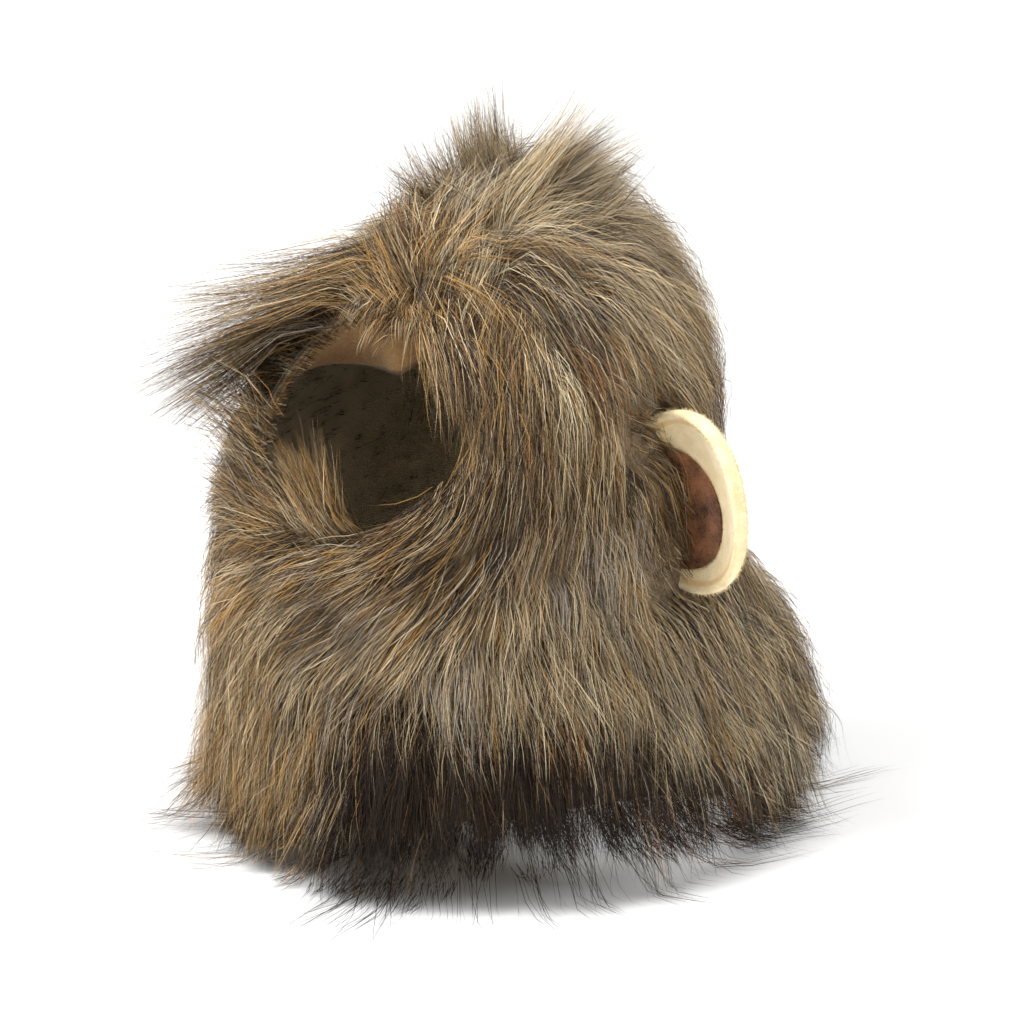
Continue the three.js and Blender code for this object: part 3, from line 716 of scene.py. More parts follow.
def pile_depth(points):
    """How deep the pile lies over points of the hood."""
    rim, low = face_place(points)
    height = points[..., 2]
    full = HEM_PILE_DEPTH + (PILE_DEPTH - HEM_PILE_DEPTH) * smoothstep(height, 0, HEM_PILE_TO)
    full = full + (CROWN_PILE_DEPTH - full) * smoothstep(height, CROWN_PILE_FROM, CROWN_PILE_FULL)
    roll = CHIN_ROLL * np.exp(-(((rim - CHIN_ROLL_AT) / CHIN_ROLL_WIDTH) ** 2)) * low
    depth = RIM_PILE_DEPTH + (full - RIM_PILE_DEPTH) * smoothstep(rim, 1, RIM_PILE_TO) + roll
    return depth * (1 - EAR_DIP * beside_ear(points))


# Painted shade: the wool's colours are darker than its own, for the shade between the hairs.
wool_painted_shade_material = napped_material("underfur_wool_painted_shade", "#4f402d", "#7f6b4f", 500, 90, 0, 0.002)
underfur_grid = (UNDERFUR_COLUMNS, UNDERFUR_ROWS, UNDERFUR_HEM_RISE)
underfur = new_shell(
    "underfur",
    skin_points(lambda points: pile_depth(points) * UNDERFUR_SHARE, *underfur_grid),
    skin_points(SEAM_GAP, *underfur_grid),
    wool_painted_shade_material,
)
cut(underfur, face_tunnel())
stand_for(underfur, "long_fur", "fur_left", "fur_right", "fur_bib")

# The long hair of the mane. Each hair is one fine ribbon. It is rooted in the cloth, stands up
# through the underfur, lies over the way that the mane is combed, and ends in a point. Hairs
# grow in tufts, and tufts lean together into locks.
HAIR_STATIONS = np.array([0.0, 0.26, 0.52, 0.78, 1.0])
HAIR_WIDTHS = np.array([1.0, 0.95, 0.8, 0.5])
GUIDE_STEPS = 16
COMB_REACH = 0.028
FLOOR_CLEARANCE = 0.0006
FRIZZ = 0.0036
WAVE_HEIGHT = (0.0004, 0.0016)
WAVE_TURNS = (0.5, 1.6)
STRAY_ASIDE = 0.006
STRAY_OUT = (0.001, 0.010)
STRAIGHT_HAIR = 0.055
LAYING_REACH = 0.009
EAR_COAT = 0.009
EAR_HAIR_GAP = 0.003
EAR_HAIR_AHEAD = 0.03
EAR_HAIR_RADIUS = 1.05
# How the mane is combed, read one by one. Seen hair has a point of the picture, in pixels, and the
# way that it lies there or a heading. Hidden hair has an angle and row of the hood and a heading.
# A heading is 0 for straight down and 90 for towards the wearer's left. Angles are in degrees.
SEEN_IN_MANE = np.array(
    [
        # right, down, way right, way down
        [513, 175, 0.75, -0.65], [571, 187, 0.95, -0.2], [609, 214, 0.9, 0.4],
        [359, 250, -0.6, -0.5], [398, 235, -0.2, -0.8], [330, 290, -0.95, 0.3],
        [430, 235, 0.1, -1], [475, 275, 0.8, 0.55], [513, 406, 0, 1], [571, 291, 0.65, 0.75],
        [590, 368, 0.3, 0.95], [551, 483, 0.1, 1], [455, 505, -0.85, 0.45],
        [400, 540, -0.95, 0.3], [330, 550, -1, 0.12], [270, 560, -1, 0.2], [630, 245, 0.8, 0.5],
        [663, 265, 0.75, 0.65], [688, 338, 0.55, 0.83], [705, 390, 0.4, 0.92],
        [617, 353, 0.5, 0.87], [597, 453, 0.25, 0.97], [650, 480, 0.3, 0.95],
        [492, 537, -0.3, 0.95], [534, 536, 0, 1], [576, 578, 0.1, 1], [353, 575, -0.85, 0.5],
        [248, 616, -0.4, 0.9], [222, 710, 0, 1], [300, 710, -0.15, 1], [379, 658, -0.35, 0.93],
        [432, 600, -0.45, 0.9], [458, 658, 0, 1], [564, 658, 0.15, 1], [643, 658, 0.3, 0.95],
        [722, 684, 0.4, 0.92], [774, 737, 0.45, 0.9], [770, 632, 0.45, 0.9],
        [669, 763, 0.2, 0.98], [800, 770, 0.8, 0.6], [225, 800, -0.2, 1], [330, 820, -0.1, 1],
        [450, 800, 0, 1], [560, 790, 0.1, 1], [300, 620, -0.6, 0.8], [205, 470, -0.4, 0.9],
        [200, 560, -0.4, 0.9],
    ]
)
SEEN_BY_FACE = np.array(
    [
        # right, down, way right, way down
        [290, 440, -0.45, -0.9], [225, 500, -0.9, -0.3], [380, 560, -0.95, 0.3],
        [440, 530, -0.85, 0.5], [480, 500, -0.6, 0.8],
    ]
)
TURNED_IN_MANE = np.array(
    [
        # right, down, heading
        [421, 291, 34], [494, 445, -2],
    ]
)
TURNED_BY_FACE = np.array(
    [
        # right, down, heading
        [430, 340, 22], [450, 400, 6], [420, 420, 22], [475, 350, 4], [468, 440, 14],
        [250, 470, -110],
    ]
)
HIDDEN = np.array(
    [
        # angle, row, heading
        [-60, 8.3, -95], [-60, 7.6, -70], [-62, 6.4, -30], [-66, 5.2, -12], [-70, 4.2, -6],
        [-74, 3, -8], [-76, 1.8, -12], [-78, 0.6, -20], [-104, 7.2, -34], [-108, 6.2, -22],
        [-108, 5, -10], [-108, 3.6, -6], [-110, 2.2, -14], [-112, 0.8, -30], [-146, 7.7, -16],
        [-146, 6.2, -8], [-146, 4.4, -4], [-146, 2.8, -6], [-146, 1.2, -12], [180, 8.3, 0],
        [180, 7, 4], [180, 5.4, -3], [180, 3.6, 4], [180, 2, -4], [180, 0.6, 0], [146, 7.4, 20],
        [146, 6, 10], [146, 4.4, 6], [146, 2.8, 8], [146, 1.2, 16], [146, 0.4, 26], [12, 6.5, 44],
        [2, 6.8, -125], [-10, 6.7, -115], [-20, 6.2, -95], [-34, 4.4, -60], [-44, 5, -35],
    ]
)
PILE_IN_MANE = 0.016
PILE_BY_FACE = 0.014
ANGLE_STEP = 1
ROW_STEP = 0.05
LEAST_FACING = 0.02
DAMPING = 0.02
picture_ways = np.array([to_the_right, -toward_camera.cross(to_the_right)]).T


def behind(spots, pile):
    """The comb for points of the picture: the places on the hood that they show through a depth
    of pile, and the headings there."""
    angle, row = np.meshgrid(
        np.arange(-180, 180, ANGLE_STEP), np.arange(0, APEX_ROW - ROW_STEP, ROW_STEP), indexing="ij"
    )
    around, upward = hood_ways(np.radians(angle), row, 0.02)
    out = unit(np.cross(around, upward))
    from_aim = hood_point(np.radians(angle), row) + pile * out - np.array(aim)
    seen_at = PICTURE_PIXELS / 2 + PIXELS_PER_METRE * from_aim @ picture_ways
    faces_away = out @ np.array(toward_camera) < LEAST_FACING
    comb = []
    for right, down, *given in spots:
        away = np.where(faces_away, np.inf, np.linalg.norm(seen_at - (right, down), axis=-1))
        i = np.unravel_index(away.argmin(), away.shape)
        level = unit(around[i])
        ways = (np.stack([level, np.cross(out[i], level)]) @ picture_ways).T
        if len(given) == 2:
            along, up = np.linalg.solve(ways.T @ ways + DAMPING * np.eye(2), ways.T @ given)
            given = [np.round(np.degrees(np.arctan2(along, -up)))]
        comb.append([angle[i], row[i], *given])
    return comb


COMB = np.array(
    [
        *behind(SEEN_IN_MANE, PILE_IN_MANE),
        *behind(SEEN_BY_FACE, PILE_BY_FACE),
        *behind(TURNED_IN_MANE, PILE_IN_MANE),
        *behind(TURNED_BY_FACE, PILE_BY_FACE),
        *HIDDEN,
    ]
)


def turned(vectors, axes, angles):
    """Vectors turned about unit axes by an angle each."""
    c, s = np.cos(angles)[..., None], np.sin(angles)[..., None]
    along = np.sum(vectors * axes, -1, keepdims=True)
    return vectors * c + np.cross(axes, vectors) * s + axes * along * (1 - c)


def headed(angle, row, heading):
    """The way along the hood at a place, for a heading in radians."""
    around = unit(hood_ways(angle, row, 0.02)[0])
    upward = np.cross(hood_out(angle, row), around)
    return np.sin(heading)[..., None] * around - np.cos(heading)[..., None] * upward


comb_places = hood_point(np.radians(COMB[:, 0]), COMB[:, 1])
comb_ways = headed(np.radians(COMB[:, 0]), COMB[:, 1], np.radians(COMB[:, 2]))


def combed(points, outs):
    """The way that the hair is combed at points near the hood, level with its surface. It is
    short where hairs part, so that they stand up there."""
    away = np.linalg.norm(points[:, None] - comb_places[None], axis=-1)
    weight = np.exp(-((away / COMB_REACH) ** 2)) + 1e-4 * np.exp(-away / COMB_REACH)
    way = (weight[..., None] * comb_ways[None]).sum(1) / weight.sum(1)[..., None]
    way = way - outs * np.sum(way * outs, -1, keepdims=True)
    return unit(way) * np.clip(1.3 * np.linalg.norm(way, axis=-1, keepdims=True), 0.3, 1)


def over_hood(points):
    """The nearest place on the hood, the way out there, and the height over it."""
    found = [hood_tree.find_nearest(p) for p in points]
    near = np.array([f[0] for f in found])
    out = np.array([f[1] for f in found])
    height = np.sum((points - near) * out, -1)
    return near, out, height


def guide_hairs(roots, lengths, levels, drift):
    """Hairs that lie over the hood the way it is combed, each as a row of points."""
    near, out, height = over_hood(roots)
    position = near
    heading = unit(out + 0.35 * combed(near, out))
    points, outs = [position], [out]
    step = (lengths / GUIDE_STEPS)[:, None]
    for i in range(GUIDE_STEPS):
        way = turned(combed(near, out), out, drift * (1 - 0.5 * i / GUIDE_STEPS))
        want = levels * pile_depth(near)
        rise = np.clip((want - height) / LAYING_REACH, -0.6, 1.1)[:, None]
        bend = 0.5 if i > 1 else 0.3
        heading = unit((1 - bend) * heading + bend * unit(way + out * rise))
        position = position + heading * step
        near, out, height = over_hood(position)
        points.append(position)
        outs.append(out)
    return np.stack(points, 1), np.stack(outs, 1)


# Tufts that stand off the mane. Heading is round the compass, 0 to the front and 90 to the
# wearer's left. Climb is the slope that a tuft starts at and droop how far that falls to its
# tip. Length and width are shares of the two sizes. Angles are in degrees.
TUFT_LENGTH = 0.078
TUFT_HALF_WIDTH = 0.013
TUFTS = np.array(
    [
        # angle, row, heading, climb, droop, length, width
        [-100, 8.6, -20, 78, -6, 0.78, 0.7],
        [-90, 8.3, -24, 66, -10, 0.66, 1.0],
        [-60, 8.6, -10, 60, 0, 0.54, 1.1],
        [-84, 7.9, -60, 50, 10, 0.60, 1.3],
        [-52, 8.2, -24, 46, 10, 0.56, 1.2],
        [60, 8.6, 118, 54, 8, 1.00, 1.2],
        [86, 8.5, 122, 44, 8, 0.90, 1.2],
        [110, 8.3, 126, 46, 14, 0.66, 1.2],
        [-160, 8.3, 170, 40, 30, 0.70, 1.0],
        [-40, 7.8, -50, -6, 40, 0.72, 1.1],
        [-36, 7.3, -55, -12, 18, 1.25, 1.1],
        [-44, 6.7, -54, -12, 14, 1.50, 1.1],
        [-50, 6.3, -50, -16, 12, 1.55, 1.0],
        [-54, 5.9, -46, -22, 14, 1.35, 1.0],
        [-60, 5.3, -50, -24, 26, 1.05, 1.0],
        [10, 8.0, 24, -8, 70, 0.46, 1.1],
        [30, 7.6, 16, -12, 86, 0.72, 1.0],
        [38, 7.1, 18, -20, 78, 0.80, 1.0],
        [46, 6.8, 32, -20, 80, 0.82, 1.0],
        [54, 6.3, 36, -20, 80, 0.78, 1.0],
        [4, 6.95, 14, -24, 60, 0.24, 1.0],
        [-6, 7.0, 0, -24, 60, 0.24, 1.0],
        [-16, 6.9, -14, -20, 50, 0.24, 1.0],
        [2, 3.65, -88, 64, 0, 0.62, 0.4],
        [0, 3.60, -86, 60, 0, 0.56, 0.4],
        [0, 1.0, -6, -64, 10, 0.74, 0.6],
        [1, 0.8, -6, -60, 10, 0.66, 0.5],
        [-22, 0.5, -24, -56, 26, 0.50, 0.8],
        [-38, 0.8, -50, -44, 30, 0.80, 0.9],
        [-50, 0.6, -62, -30, 20, 0.84, 0.9],
        [-84, 0.6, -76, -34, 26, 0.60, 0.9],
        [114, 1.1, 100, -62, 26, 0.95, 1.2],
        [98, 0.9, 90, -66, 30, 0.80, 1.1],
        [150, 0.9, 146, -60, 30, 0.70, 0.9],
        [-130, 0.6, -130, -34, 30, 0.55, 0.9],
    ]
)


def falling(start, out, heading, climb, droop, step):
    """Paths that leave the hood, take their heading and slope, and fall off towards the tip."""
    points = [start]
    for i in range(GUIDE_STEPS):
        slope = climb - droop * i / GUIDE_STEPS
        aim = [np.sin(heading) * np.cos(slope), -np.cos(heading) * np.cos(slope), np.sin(slope)]
        points.append(points[-1] + step * unit(np.stack(aim, -1) + max(0, 1 - i / 3) * out))
    return np.stack(points, 1), np.repeat(out[:, None], GUIDE_STEPS + 1, 1)


def tuft_guides(each):
    """The paths of the tufts, several to a tuft, rooted close together."""
    rows = np.repeat(TUFTS, each, axis=0)
    angle, row, heading, climb, droop, length, width = rows.T
    heading = np.radians(heading + rng.normal(0, 9, len(rows)))
    climb = np.radians(climb + rng.normal(0, 7, len(rows)))
    droop = np.radians(droop + rng.normal(0, 10, len(rows)))
    length = length * TUFT_LENGTH * rng.uniform(0.7, 1.1, len(rows))
    middle = hood_point(np.radians(angle), row)
    aside = rng.normal(0, 0.55, (len(rows), 3)) * (width * TUFT_HALF_WIDTH)[:, None]
    near, out, height = over_hood(middle + aside)
    start = near + out * 0.2 * pile_depth(near)[:, None]
    return falling(start, out, heading, climb, droop, (length / GUIDE_STEPS)[:, None])


def cheek_guides(count):
    """Sparse hairs that fan up and out over the wearer's right edge of the face opening."""
    angle = np.radians(rng.uniform(-40, 3, count))
    row = 3.45 + 1.2 * smoothstep(-np.degrees(angle), 14, 40) + rng.normal(0, 0.15, count)
    near = hood_point(angle, row)
    out = hood_out(angle, row)
    heading = np.radians(rng.normal(-82, 16, count))
    climb = np.radians(rng.uniform(8, 62, count))
    droop = np.radians(rng.uniform(0, 40, count))
    step = (TUFT_LENGTH * rng.uniform(0.35, 0.72, count) / GUIDE_STEPS)[:, None]
    return falling(near, out, heading, climb, droop, step)


def turn_of(points):
    """The way round the hood in degrees, 0 at the front and 90 at the wearer's left."""
    return np.degrees(np.arctan2(points[:, 0] - HOOD_AXIS[0], HOOD_AXIS[1] - points[:, 1]))


def on_right_front(points):
    """How far points are round to the wearer's right of the bib, where the hair is fluffed."""
    return between(turn_of(points), -110, -80, -30, -5) * below(points[:, 2], 0.16, 0.2)


def rim_guides(count):
    """Hairs at the very rim of the face, which stand up before they lie over."""
    turn = rng.uniform(0, 2 * pi, count)
    return on_hood_ahead(face_oval(turn, rng.uniform(0.99, 1.09, count)), 0)


def past_ears(hairs):
    """Hairs laid over the roots of the ears, and which of them still pass through an ear."""
    struck = np.zeros(hairs.shape[:2], bool)
    for side in (1, -1):
        there = np.array(ear_matrix(side))
        into = np.linalg.inv(there)
        local = hairs @ into[:3, :3].T + into[:3, 3]
        x, z = side * local[..., 0], local[..., 2]
        radius = np.hypot(x / EAR_HALF_WIDTH, z / EAR_HALF_HEIGHT)
        depth = local[..., 1] - dish_at(x, z)
        close = radius < EAR_HAIR_RADIUS
        inside = close & (depth < EAR_THICKNESS / 2) & (depth > -EAR_HAIR_AHEAD)
        height = np.zeros(hairs.shape[:2])
        height[inside] = over_hood(hairs[inside])[2]
        struck |= inside & (height > EAR_COAT)
        near = close & (depth > -EAR_HAIR_GAP) & (depth < EAR_THICKNESS + EAR_HAIR_GAP)
        ahead = near & (depth < EAR_THICKNESS / 2)
        behind = near & (depth >= EAR_THICKNESS / 2)
        local[..., 1] += np.where(ahead, -EAR_HAIR_GAP - depth, 0)
        local[..., 1] += np.where(behind, EAR_THICKNESS + EAR_HAIR_GAP - depth, 0)
        moved = (ahead | behind)[..., None]
        hairs = np.where(moved, local @ there[:3, :3].T + there[:3, 3], hairs)
    return hairs, struck


def on_table(points, outs, least):
    """Hair that would go through the table lies out along it instead."""
    short = np.maximum(least - points[..., 2], 0)
    level = outs * np.array([1, 1, 0])
    moved = points + unit(level) * (0.85 * short)[..., None]
    moved[..., 2] = np.maximum(points[..., 2], least)
    return moved


def along_guides(guides, where):
    """Points of many guides, each at its own share of the guide's length."""
    at = np.clip(where, 0, 1) * GUIDE_STEPS
    low = np.minimum(at.astype(int), GUIDE_STEPS - 1)
    rest = (at - low)[..., None]
    index = np.arange(len(guides))[:, None]
    return guides[index, low] * (1 - rest) + guides[index, low + 1] * rest


def hairs_of(guides, outs, count, spread, clump, wildness, lengths=(0.6, 1.0)):
    """Hairs in a tuft round each guide. They keep its path and draw in towards its tip."""
    total = len(guides) * count
    owner = np.repeat(np.arange(len(guides)), count)
    share = rng.uniform(*lengths, total)[:, None]
    stations = HAIR_STATIONS[None] * share
    path = along_guides(guides[owner], stations)
    out = unit(along_guides(outs[owner], stations))
    ahead = along_guides(guides[owner], stations + 0.05)
    behind = along_guides(guides[owner], stations - 0.05)
    along = unit(ahead - behind)
    across = unit(np.cross(along, out))
    turn = rng.uniform(0, 2 * pi, total)
    reach = spread * np.sqrt(rng.uniform(0, 1, total))
    side, forth = np.cos(turn) * reach, np.sin(turn) * reach
    t = HAIR_STATIONS[None]
    draw = 1 - rng.uniform(*clump, total)[:, None] * t**1.2
    depth = -rng.beta(1.3, 1.6, total)[:, None] * smoothstep(t, 0.0, 0.4)
    lift = np.sum((path - path[:, :1]) * out[:, :1], -1, keepdims=True)
    hairs = path + across * (side[:, None] * draw)[..., None]
    hairs += along[:, :1] * (forth[:, None] * draw)[..., None]
    hairs += out * (depth * 0.62)[..., None] * np.clip(lift, 0, 0.02)
    reached = np.linalg.norm(path[:, -1] - path[:, 0], axis=-1)
    t = t * np.clip(reached / STRAIGHT_HAIR, 0.2, 1)[:, None]
    wave = rng.uniform(*WAVE_HEIGHT, total)[:, None] * t
    turns = rng.uniform(*WAVE_TURNS, total)[:, None]
    start = rng.uniform(0, 2 * pi, total)[:, None]
    hairs += across * (wave * np.sin(start + 2 * pi * turns * t))[..., None]
    hairs += out * (wave * np.cos(start + 2 * pi * turns * t))[..., None]
    hairs += across * (rng.normal(0, FRIZZ, total)[:, None] * t)[..., None]
    wild = rng.uniform(0, 1, total) < wildness
    stray = wild[:, None] * t**1.5
    hairs += across * (stray * rng.normal(0, STRAY_ASIDE, total)[:, None])[..., None]
    hairs += out * (stray * rng.uniform(*STRAY_OUT, total)[:, None])[..., None]
    return hairs, out, owner, wild


# Hair colours, from dark to light and then red, each with its deepest and lightest shade. Each
# has a band of the chart that the hair material reads: across it runs the shade, and up it from
# root to tip, twice, first for hairs of one colour and then for hairs with a black tip.
DYES = {
    "umber": ("#19110a", "#322419"),
    "bark": ("#4c3c2a", "#68553e"),
    "taupe": ("#857256", "#a18e71"),
    "ash": ("#8b8071", "#aca192"),
    "honey": ("#8e6b3b", "#b68e54"),
    "sand": ("#ad9671", "#cfba94"),
    "cream": ("#c6b48e", "#dfd2b3"),
    "rust": ("#70482a", "#8c6039"),
}
DYE_SPAN = (0.12, 0.88)
CHART_EDGE = 0.01
FINEST_HAIR = 0.00016
COARSEST_HAIR = 0.00032
BIB_HALF_WIDTH = 0.056
CAPE_TOP = 0.10
MANE_TOP = 0.20

hair_material, hair_tree, hair_shader = new_material("mane_hair", 0.5)
chart = add(hair_tree, "ShaderNodeUVMap", {"uv_map": "OFBake"})
split = add(hair_tree, "ShaderNodeSeparateXYZ", i0=chart.outputs["UV"])
dye_ramp = add(hair_tree, "ShaderNodeValToRGB", Fac=split.outputs["X"])
dye_ramp.color_ramp.interpolation = "LINEAR"
while len(dye_ramp.color_ramp.elements) < 2 * len(DYES):
    dye_ramp.color_ramp.elements.new(0.5)
for i, (deep, light) in enumerate(DYES.values()):
    for stop, share, shade in ((2 * i, DYE_SPAN[0], deep), (2 * i + 1, DYE_SPAN[1], light)):
        dye_ramp.color_ramp.elements[stop].position = (i + share) / len(DYES)
        dye_ramp.color_ramp.elements[stop].color = colour(shade)
black_tipped = worked(hair_tree, "GREATER_THAN", split.outputs["Y"], 0.5)
in_half = worked(hair_tree, "MULTIPLY_ADD", black_tipped, -0.5, split.outputs["Y"])
up_hair = spread(hair_tree, in_half, CHART_EDGE, 0.5 - CHART_EDGE, kind="LINEAR")
# Painted shade: each hair is painted darker towards its root, for the shade deep in the pile.
root_painted_shade = spread(hair_tree, up_hair, 0.0, 0.35, 0.68, 1.0)
dye_with_painted_root_shade = mixed(hair_tree, 1.0, dye_ramp.outputs["Color"], root_painted_shade, "MULTIPLY")
tip_black = worked(hair_tree, "MULTIPLY", spread(hair_tree, up_hair, 0.5, 0.85), black_tipped)
hair_colour = mixed(hair_tree, tip_black, dye_with_painted_root_shade, colour("#19120d"))
hair_tree.links.new(hair_colour, hair_shader.inputs["Base Color"])
hair_shader.inputs["Specular IOR Level"].default_value = 0.16


def hair_piece(name, hairs, outs, dyes, tipped, widths, node, slot):
    """All the ribbons of one patch of hair as one mesh, with the chart place of each."""
    count = len(hairs)
    along = unit(np.gradient(hairs, axis=1))
    across = unit(np.cross(along, outs))
    roll = rng.normal(0, 0.6, count)[:, None]
    across = turned(across, along, np.broadcast_to(roll, along.shape[:2]))
    half = (widths[:, None] * HAIR_WIDTHS / 2)[..., None]
    sides = np.stack([hairs[:, :-1] - across[:, :-1] * half, hairs[:, :-1] + across[:, :-1] * half], 2)
    corners = np.concatenate([sides.reshape(count, -1, 3), hairs[:, -1:]], 1)
    last = len(HAIR_WIDTHS) - 1
    quads = [(2 * i, 2 * i + 1, 2 * i + 3, 2 * i + 2) for i in range(last)]
    loops = np.array([c for quad in quads for c in quad] + [2 * last, 2 * last + 1, 2 * last + 2])
    per = corners.shape[1]
    index = (np.arange(count)[:, None] * per + loops[None]).ravel()
    starts = (np.arange(count)[:, None] * len(loops) + 4 * np.arange(last + 1)[None]).ravel()
    mesh = bpy.data.meshes.new(name)
    mesh.vertices.add(count * per)
    mesh.vertices.foreach_set("co", corners.astype(np.float32).ravel())
    mesh.loops.add(len(index))
    mesh.loops.foreach_set("vertex_index", index.astype(np.int32))
    mesh.polygons.add(len(starts))
    mesh.polygons.foreach_set("loop_start", starts.astype(np.int32))
    mesh.update(calc_edges=True)
    u_side = np.append(np.tile([-0.003, 0.003], last + 1), 0.0)
    v_place = np.append(np.repeat(HAIR_STATIONS[:-1], 2), 1.0)
    u = CHART_EDGE + (1 - 2 * CHART_EDGE) * dyes[:, None] + u_side[None]
    v = CHART_EDGE + (0.5 - 2 * CHART_EDGE) * v_place[None] + 0.5 * tipped[:, None]
    corner_uv = np.stack(np.broadcast_arrays(u, v), -1)
    uv = mesh.uv_layers.new(name="OFBake")
    uv.data.foreach_set("uv", corner_uv[:, loops].astype(np.float32).ravel())
    mesh.materials.append(hair_material)
    mesh.polygons.foreach_set("use_smooth", np.ones(len(starts), bool))
    stand_for(new_object(name, mesh), slot, node)


def scattered_roots(count):
    """Roots spread evenly over the hood outside the face opening."""
    angle = rng.uniform(0, 2 * pi, count * 4)
    row = rng.uniform(0.0, APEX_ROW - 0.02, count * 4)
    area = np.linalg.norm(np.cross(*hood_ways(angle, row, 0.01)), axis=-1)
    points = hood_point(angle, row)
    rim, low = face_place(points)
    keep = (rng.uniform(0, 1, len(area)) < area / np.quantile(area, 0.97)) & (rim > 1.02)
    keep &= points[:, 2] > hem_lift(points) + 0.003
    return points[keep][:count]


def by_rim(points, turns, away):
    """How near points are to a stretch of the rim of the face. Turns are degrees round the oval
    from the wearer's left, and away is how far out it fades, in shares of the oval."""
    up, aside = (points - FACE_CENTRE) @ face_upward, points[:, 0] - FACE_CENTRE[0]
    turn = np.degrees(np.arctan2(up / FACE_HALF_HEIGHT, aside / FACE_HALF_WIDTH))
    return between(turn, *turns) * below(face_place(points)[0], *away)


def within(limits, hairs):
    """Hairs that would reach out of a box end near its side instead."""
    over = np.maximum(limits[0] - hairs, hairs - limits[1]).max(-1)
    out = over > 0
    first = np.where(out.any(1), out.argmax(1), 0)
    for i in np.nonzero(first)[0]:
        before, after = over[i, first[i] - 1 : first[i] + 1]
        start, end = HAIR_STATIONS[first[i] - 1 : first[i] + 1]
        kept = (start + (end - start) * before / (before - after)) * rng.uniform(0.9, 1.0)
        for axis in range(3):
            hairs[i, :, axis] = np.interp(HAIR_STATIONS * kept, HAIR_STATIONS, hairs[i, :, axis])
    return hairs


BROW = {"turns": (-5, 25, 95, 125), "away": (1.6, 2.1)}
LOW_EDGE = {"turns": (-95, -60, 10, 40), "away": (1.25, 1.7)}
GUIDES = 3150
RIM_GUIDES = 260
GUIDES_PER_TUFT = 15
CHEEK_GUIDES = 120
CHEEK_SHARE = 0.3
HAIR_LENGTH = 0.070
HAIRS_PER_GUIDE = 32
HAIR_SPREAD = 0.0078
HAIR_CLUMPING = (0.0, 0.6)
HAIR_WILDNESS = 0.15
HAIR_DRIFT = 0.22
HAIR_OVERHANG = 0.0095
HAIR_OVERHANG_SHARE = 0.03
roots = np.concatenate([scattered_roots(GUIDES), rim_guides(RIM_GUIDES)])
rim, low = face_place(roots)
brow = by_rim(roots, **BROW)
length = HAIR_LENGTH * rng.uniform(0.85, 1.1, len(roots))
length *= 0.6 + 0.4 * np.maximum(smoothstep(rim, 1.0, 1.9), brow)
length *= 1 + 0.08 * brow
level = rng.uniform(0.8, 1.35, len(roots))
level *= 1 + 0.45 * on_right_front(roots)
level *= 1 - 0.45 * by_rim(roots, **LOW_EDGE)
drift = rng.normal(0, HAIR_DRIFT, len(roots))
guides, guide_outs = guide_hairs(roots, length, level, drift)

# Neighbouring tufts lean together into locks.
LOCKS = 560
WISP_HEIGHT = 0.075
WISP_SHARE = 0.22
lock_index = rng.choice(len(roots), LOCKS, replace=False)
away = np.linalg.norm(roots[:, None] - roots[lock_index][None], axis=-1)
mine = lock_index[np.argmin(away, 1)]
lean = np.linspace(0, 1, GUIDE_STEPS + 1)[None, :, None] ** 1.5 * 0.5
root_gap = (roots - roots[mine])[:, None]
guides = guides + (guides[mine] + root_gap * 0.4 - guides) * lean

tufts, tuft_outs = tuft_guides(GUIDES_PER_TUFT)
cheeks, cheek_outs = cheek_guides(CHEEK_GUIDES)
guides = np.concatenate([guides, tufts, cheeks])
guide_outs = np.concatenate([guide_outs, tuft_outs, cheek_outs])
thinned = np.repeat([1.0, CHEEK_SHARE], [len(guides) - CHEEK_GUIDES, CHEEK_GUIDES])
loose = slice(len(roots), None)
roots = guides[:, 0]

# The mane is trimmed level with the hem, but for a wisp here and there, and at the ears. It is
# a little shorter where it hangs over the edge of the lifted hem.
root_turn = turn_of(roots)
shorter = 0.012 * between(root_turn, -60, -20, 30, 60)
shorter += 0.010 * np.exp(-(((root_turn + 8) / 14) ** 2))
trim = hem_lift(roots) + shorter + rng.uniform(0, 0.006, len(roots)) + FLOOR_CLEARANCE
left_low = between(root_turn, -14, 10, 80, 110)
wisps = rng.uniform(0, 1, len(roots)) < 0.10 + 0.14 * left_low
wisps[loose] = False
thinned *= np.where(wisps & (roots[:, 2] < WISP_HEIGHT), WISP_SHARE, 1)
trim = np.where(wisps, -1, trim)
trim[loose] = -1
ended = (guides[..., 2] < trim[:, None]) | past_ears(guides)[1]
over_droop = (root_turn > -50) & (root_turn < 9) & (roots[:, 2] > FACE_CENTRE[2])
over_droop[loose] = False
ended |= over_droop[:, None] & (face_place(guides)[0] < 0.97)
first_ended = np.where(ended.any(1), ended.argmax(1), GUIDE_STEPS)
kept = np.maximum(first_ended, 3) / GUIDE_STEPS
guides = along_guides(guides, np.linspace(0, 1, GUIDE_STEPS + 1)[None] * kept[:, None])

hairs, hair_outs, owner, wild = hairs_of(
    guides, guide_outs, HAIRS_PER_GUIDE, HAIR_SPREAD, HAIR_CLUMPING, HAIR_WILDNESS
)
hairs, struck = past_ears(hairs)
clear = ~struck.any(1) & (rng.uniform(0, 1, len(hairs)) < thinned[owner])
hairs, hair_outs, owner, wild = hairs[clear], hair_outs[clear], owner[clear], wild[clear]
hairs = on_table(hairs, hair_outs, FLOOR_CLEARANCE + rng.uniform(0, 0.004, len(hairs))[:, None])
low_corner, high_corner = np.array(cad_box)
overhang = HAIR_OVERHANG_SHARE * (high_corner - low_corner) + HAIR_OVERHANG
hairs = within((low_corner - overhang, high_corner + overhang), hairs)
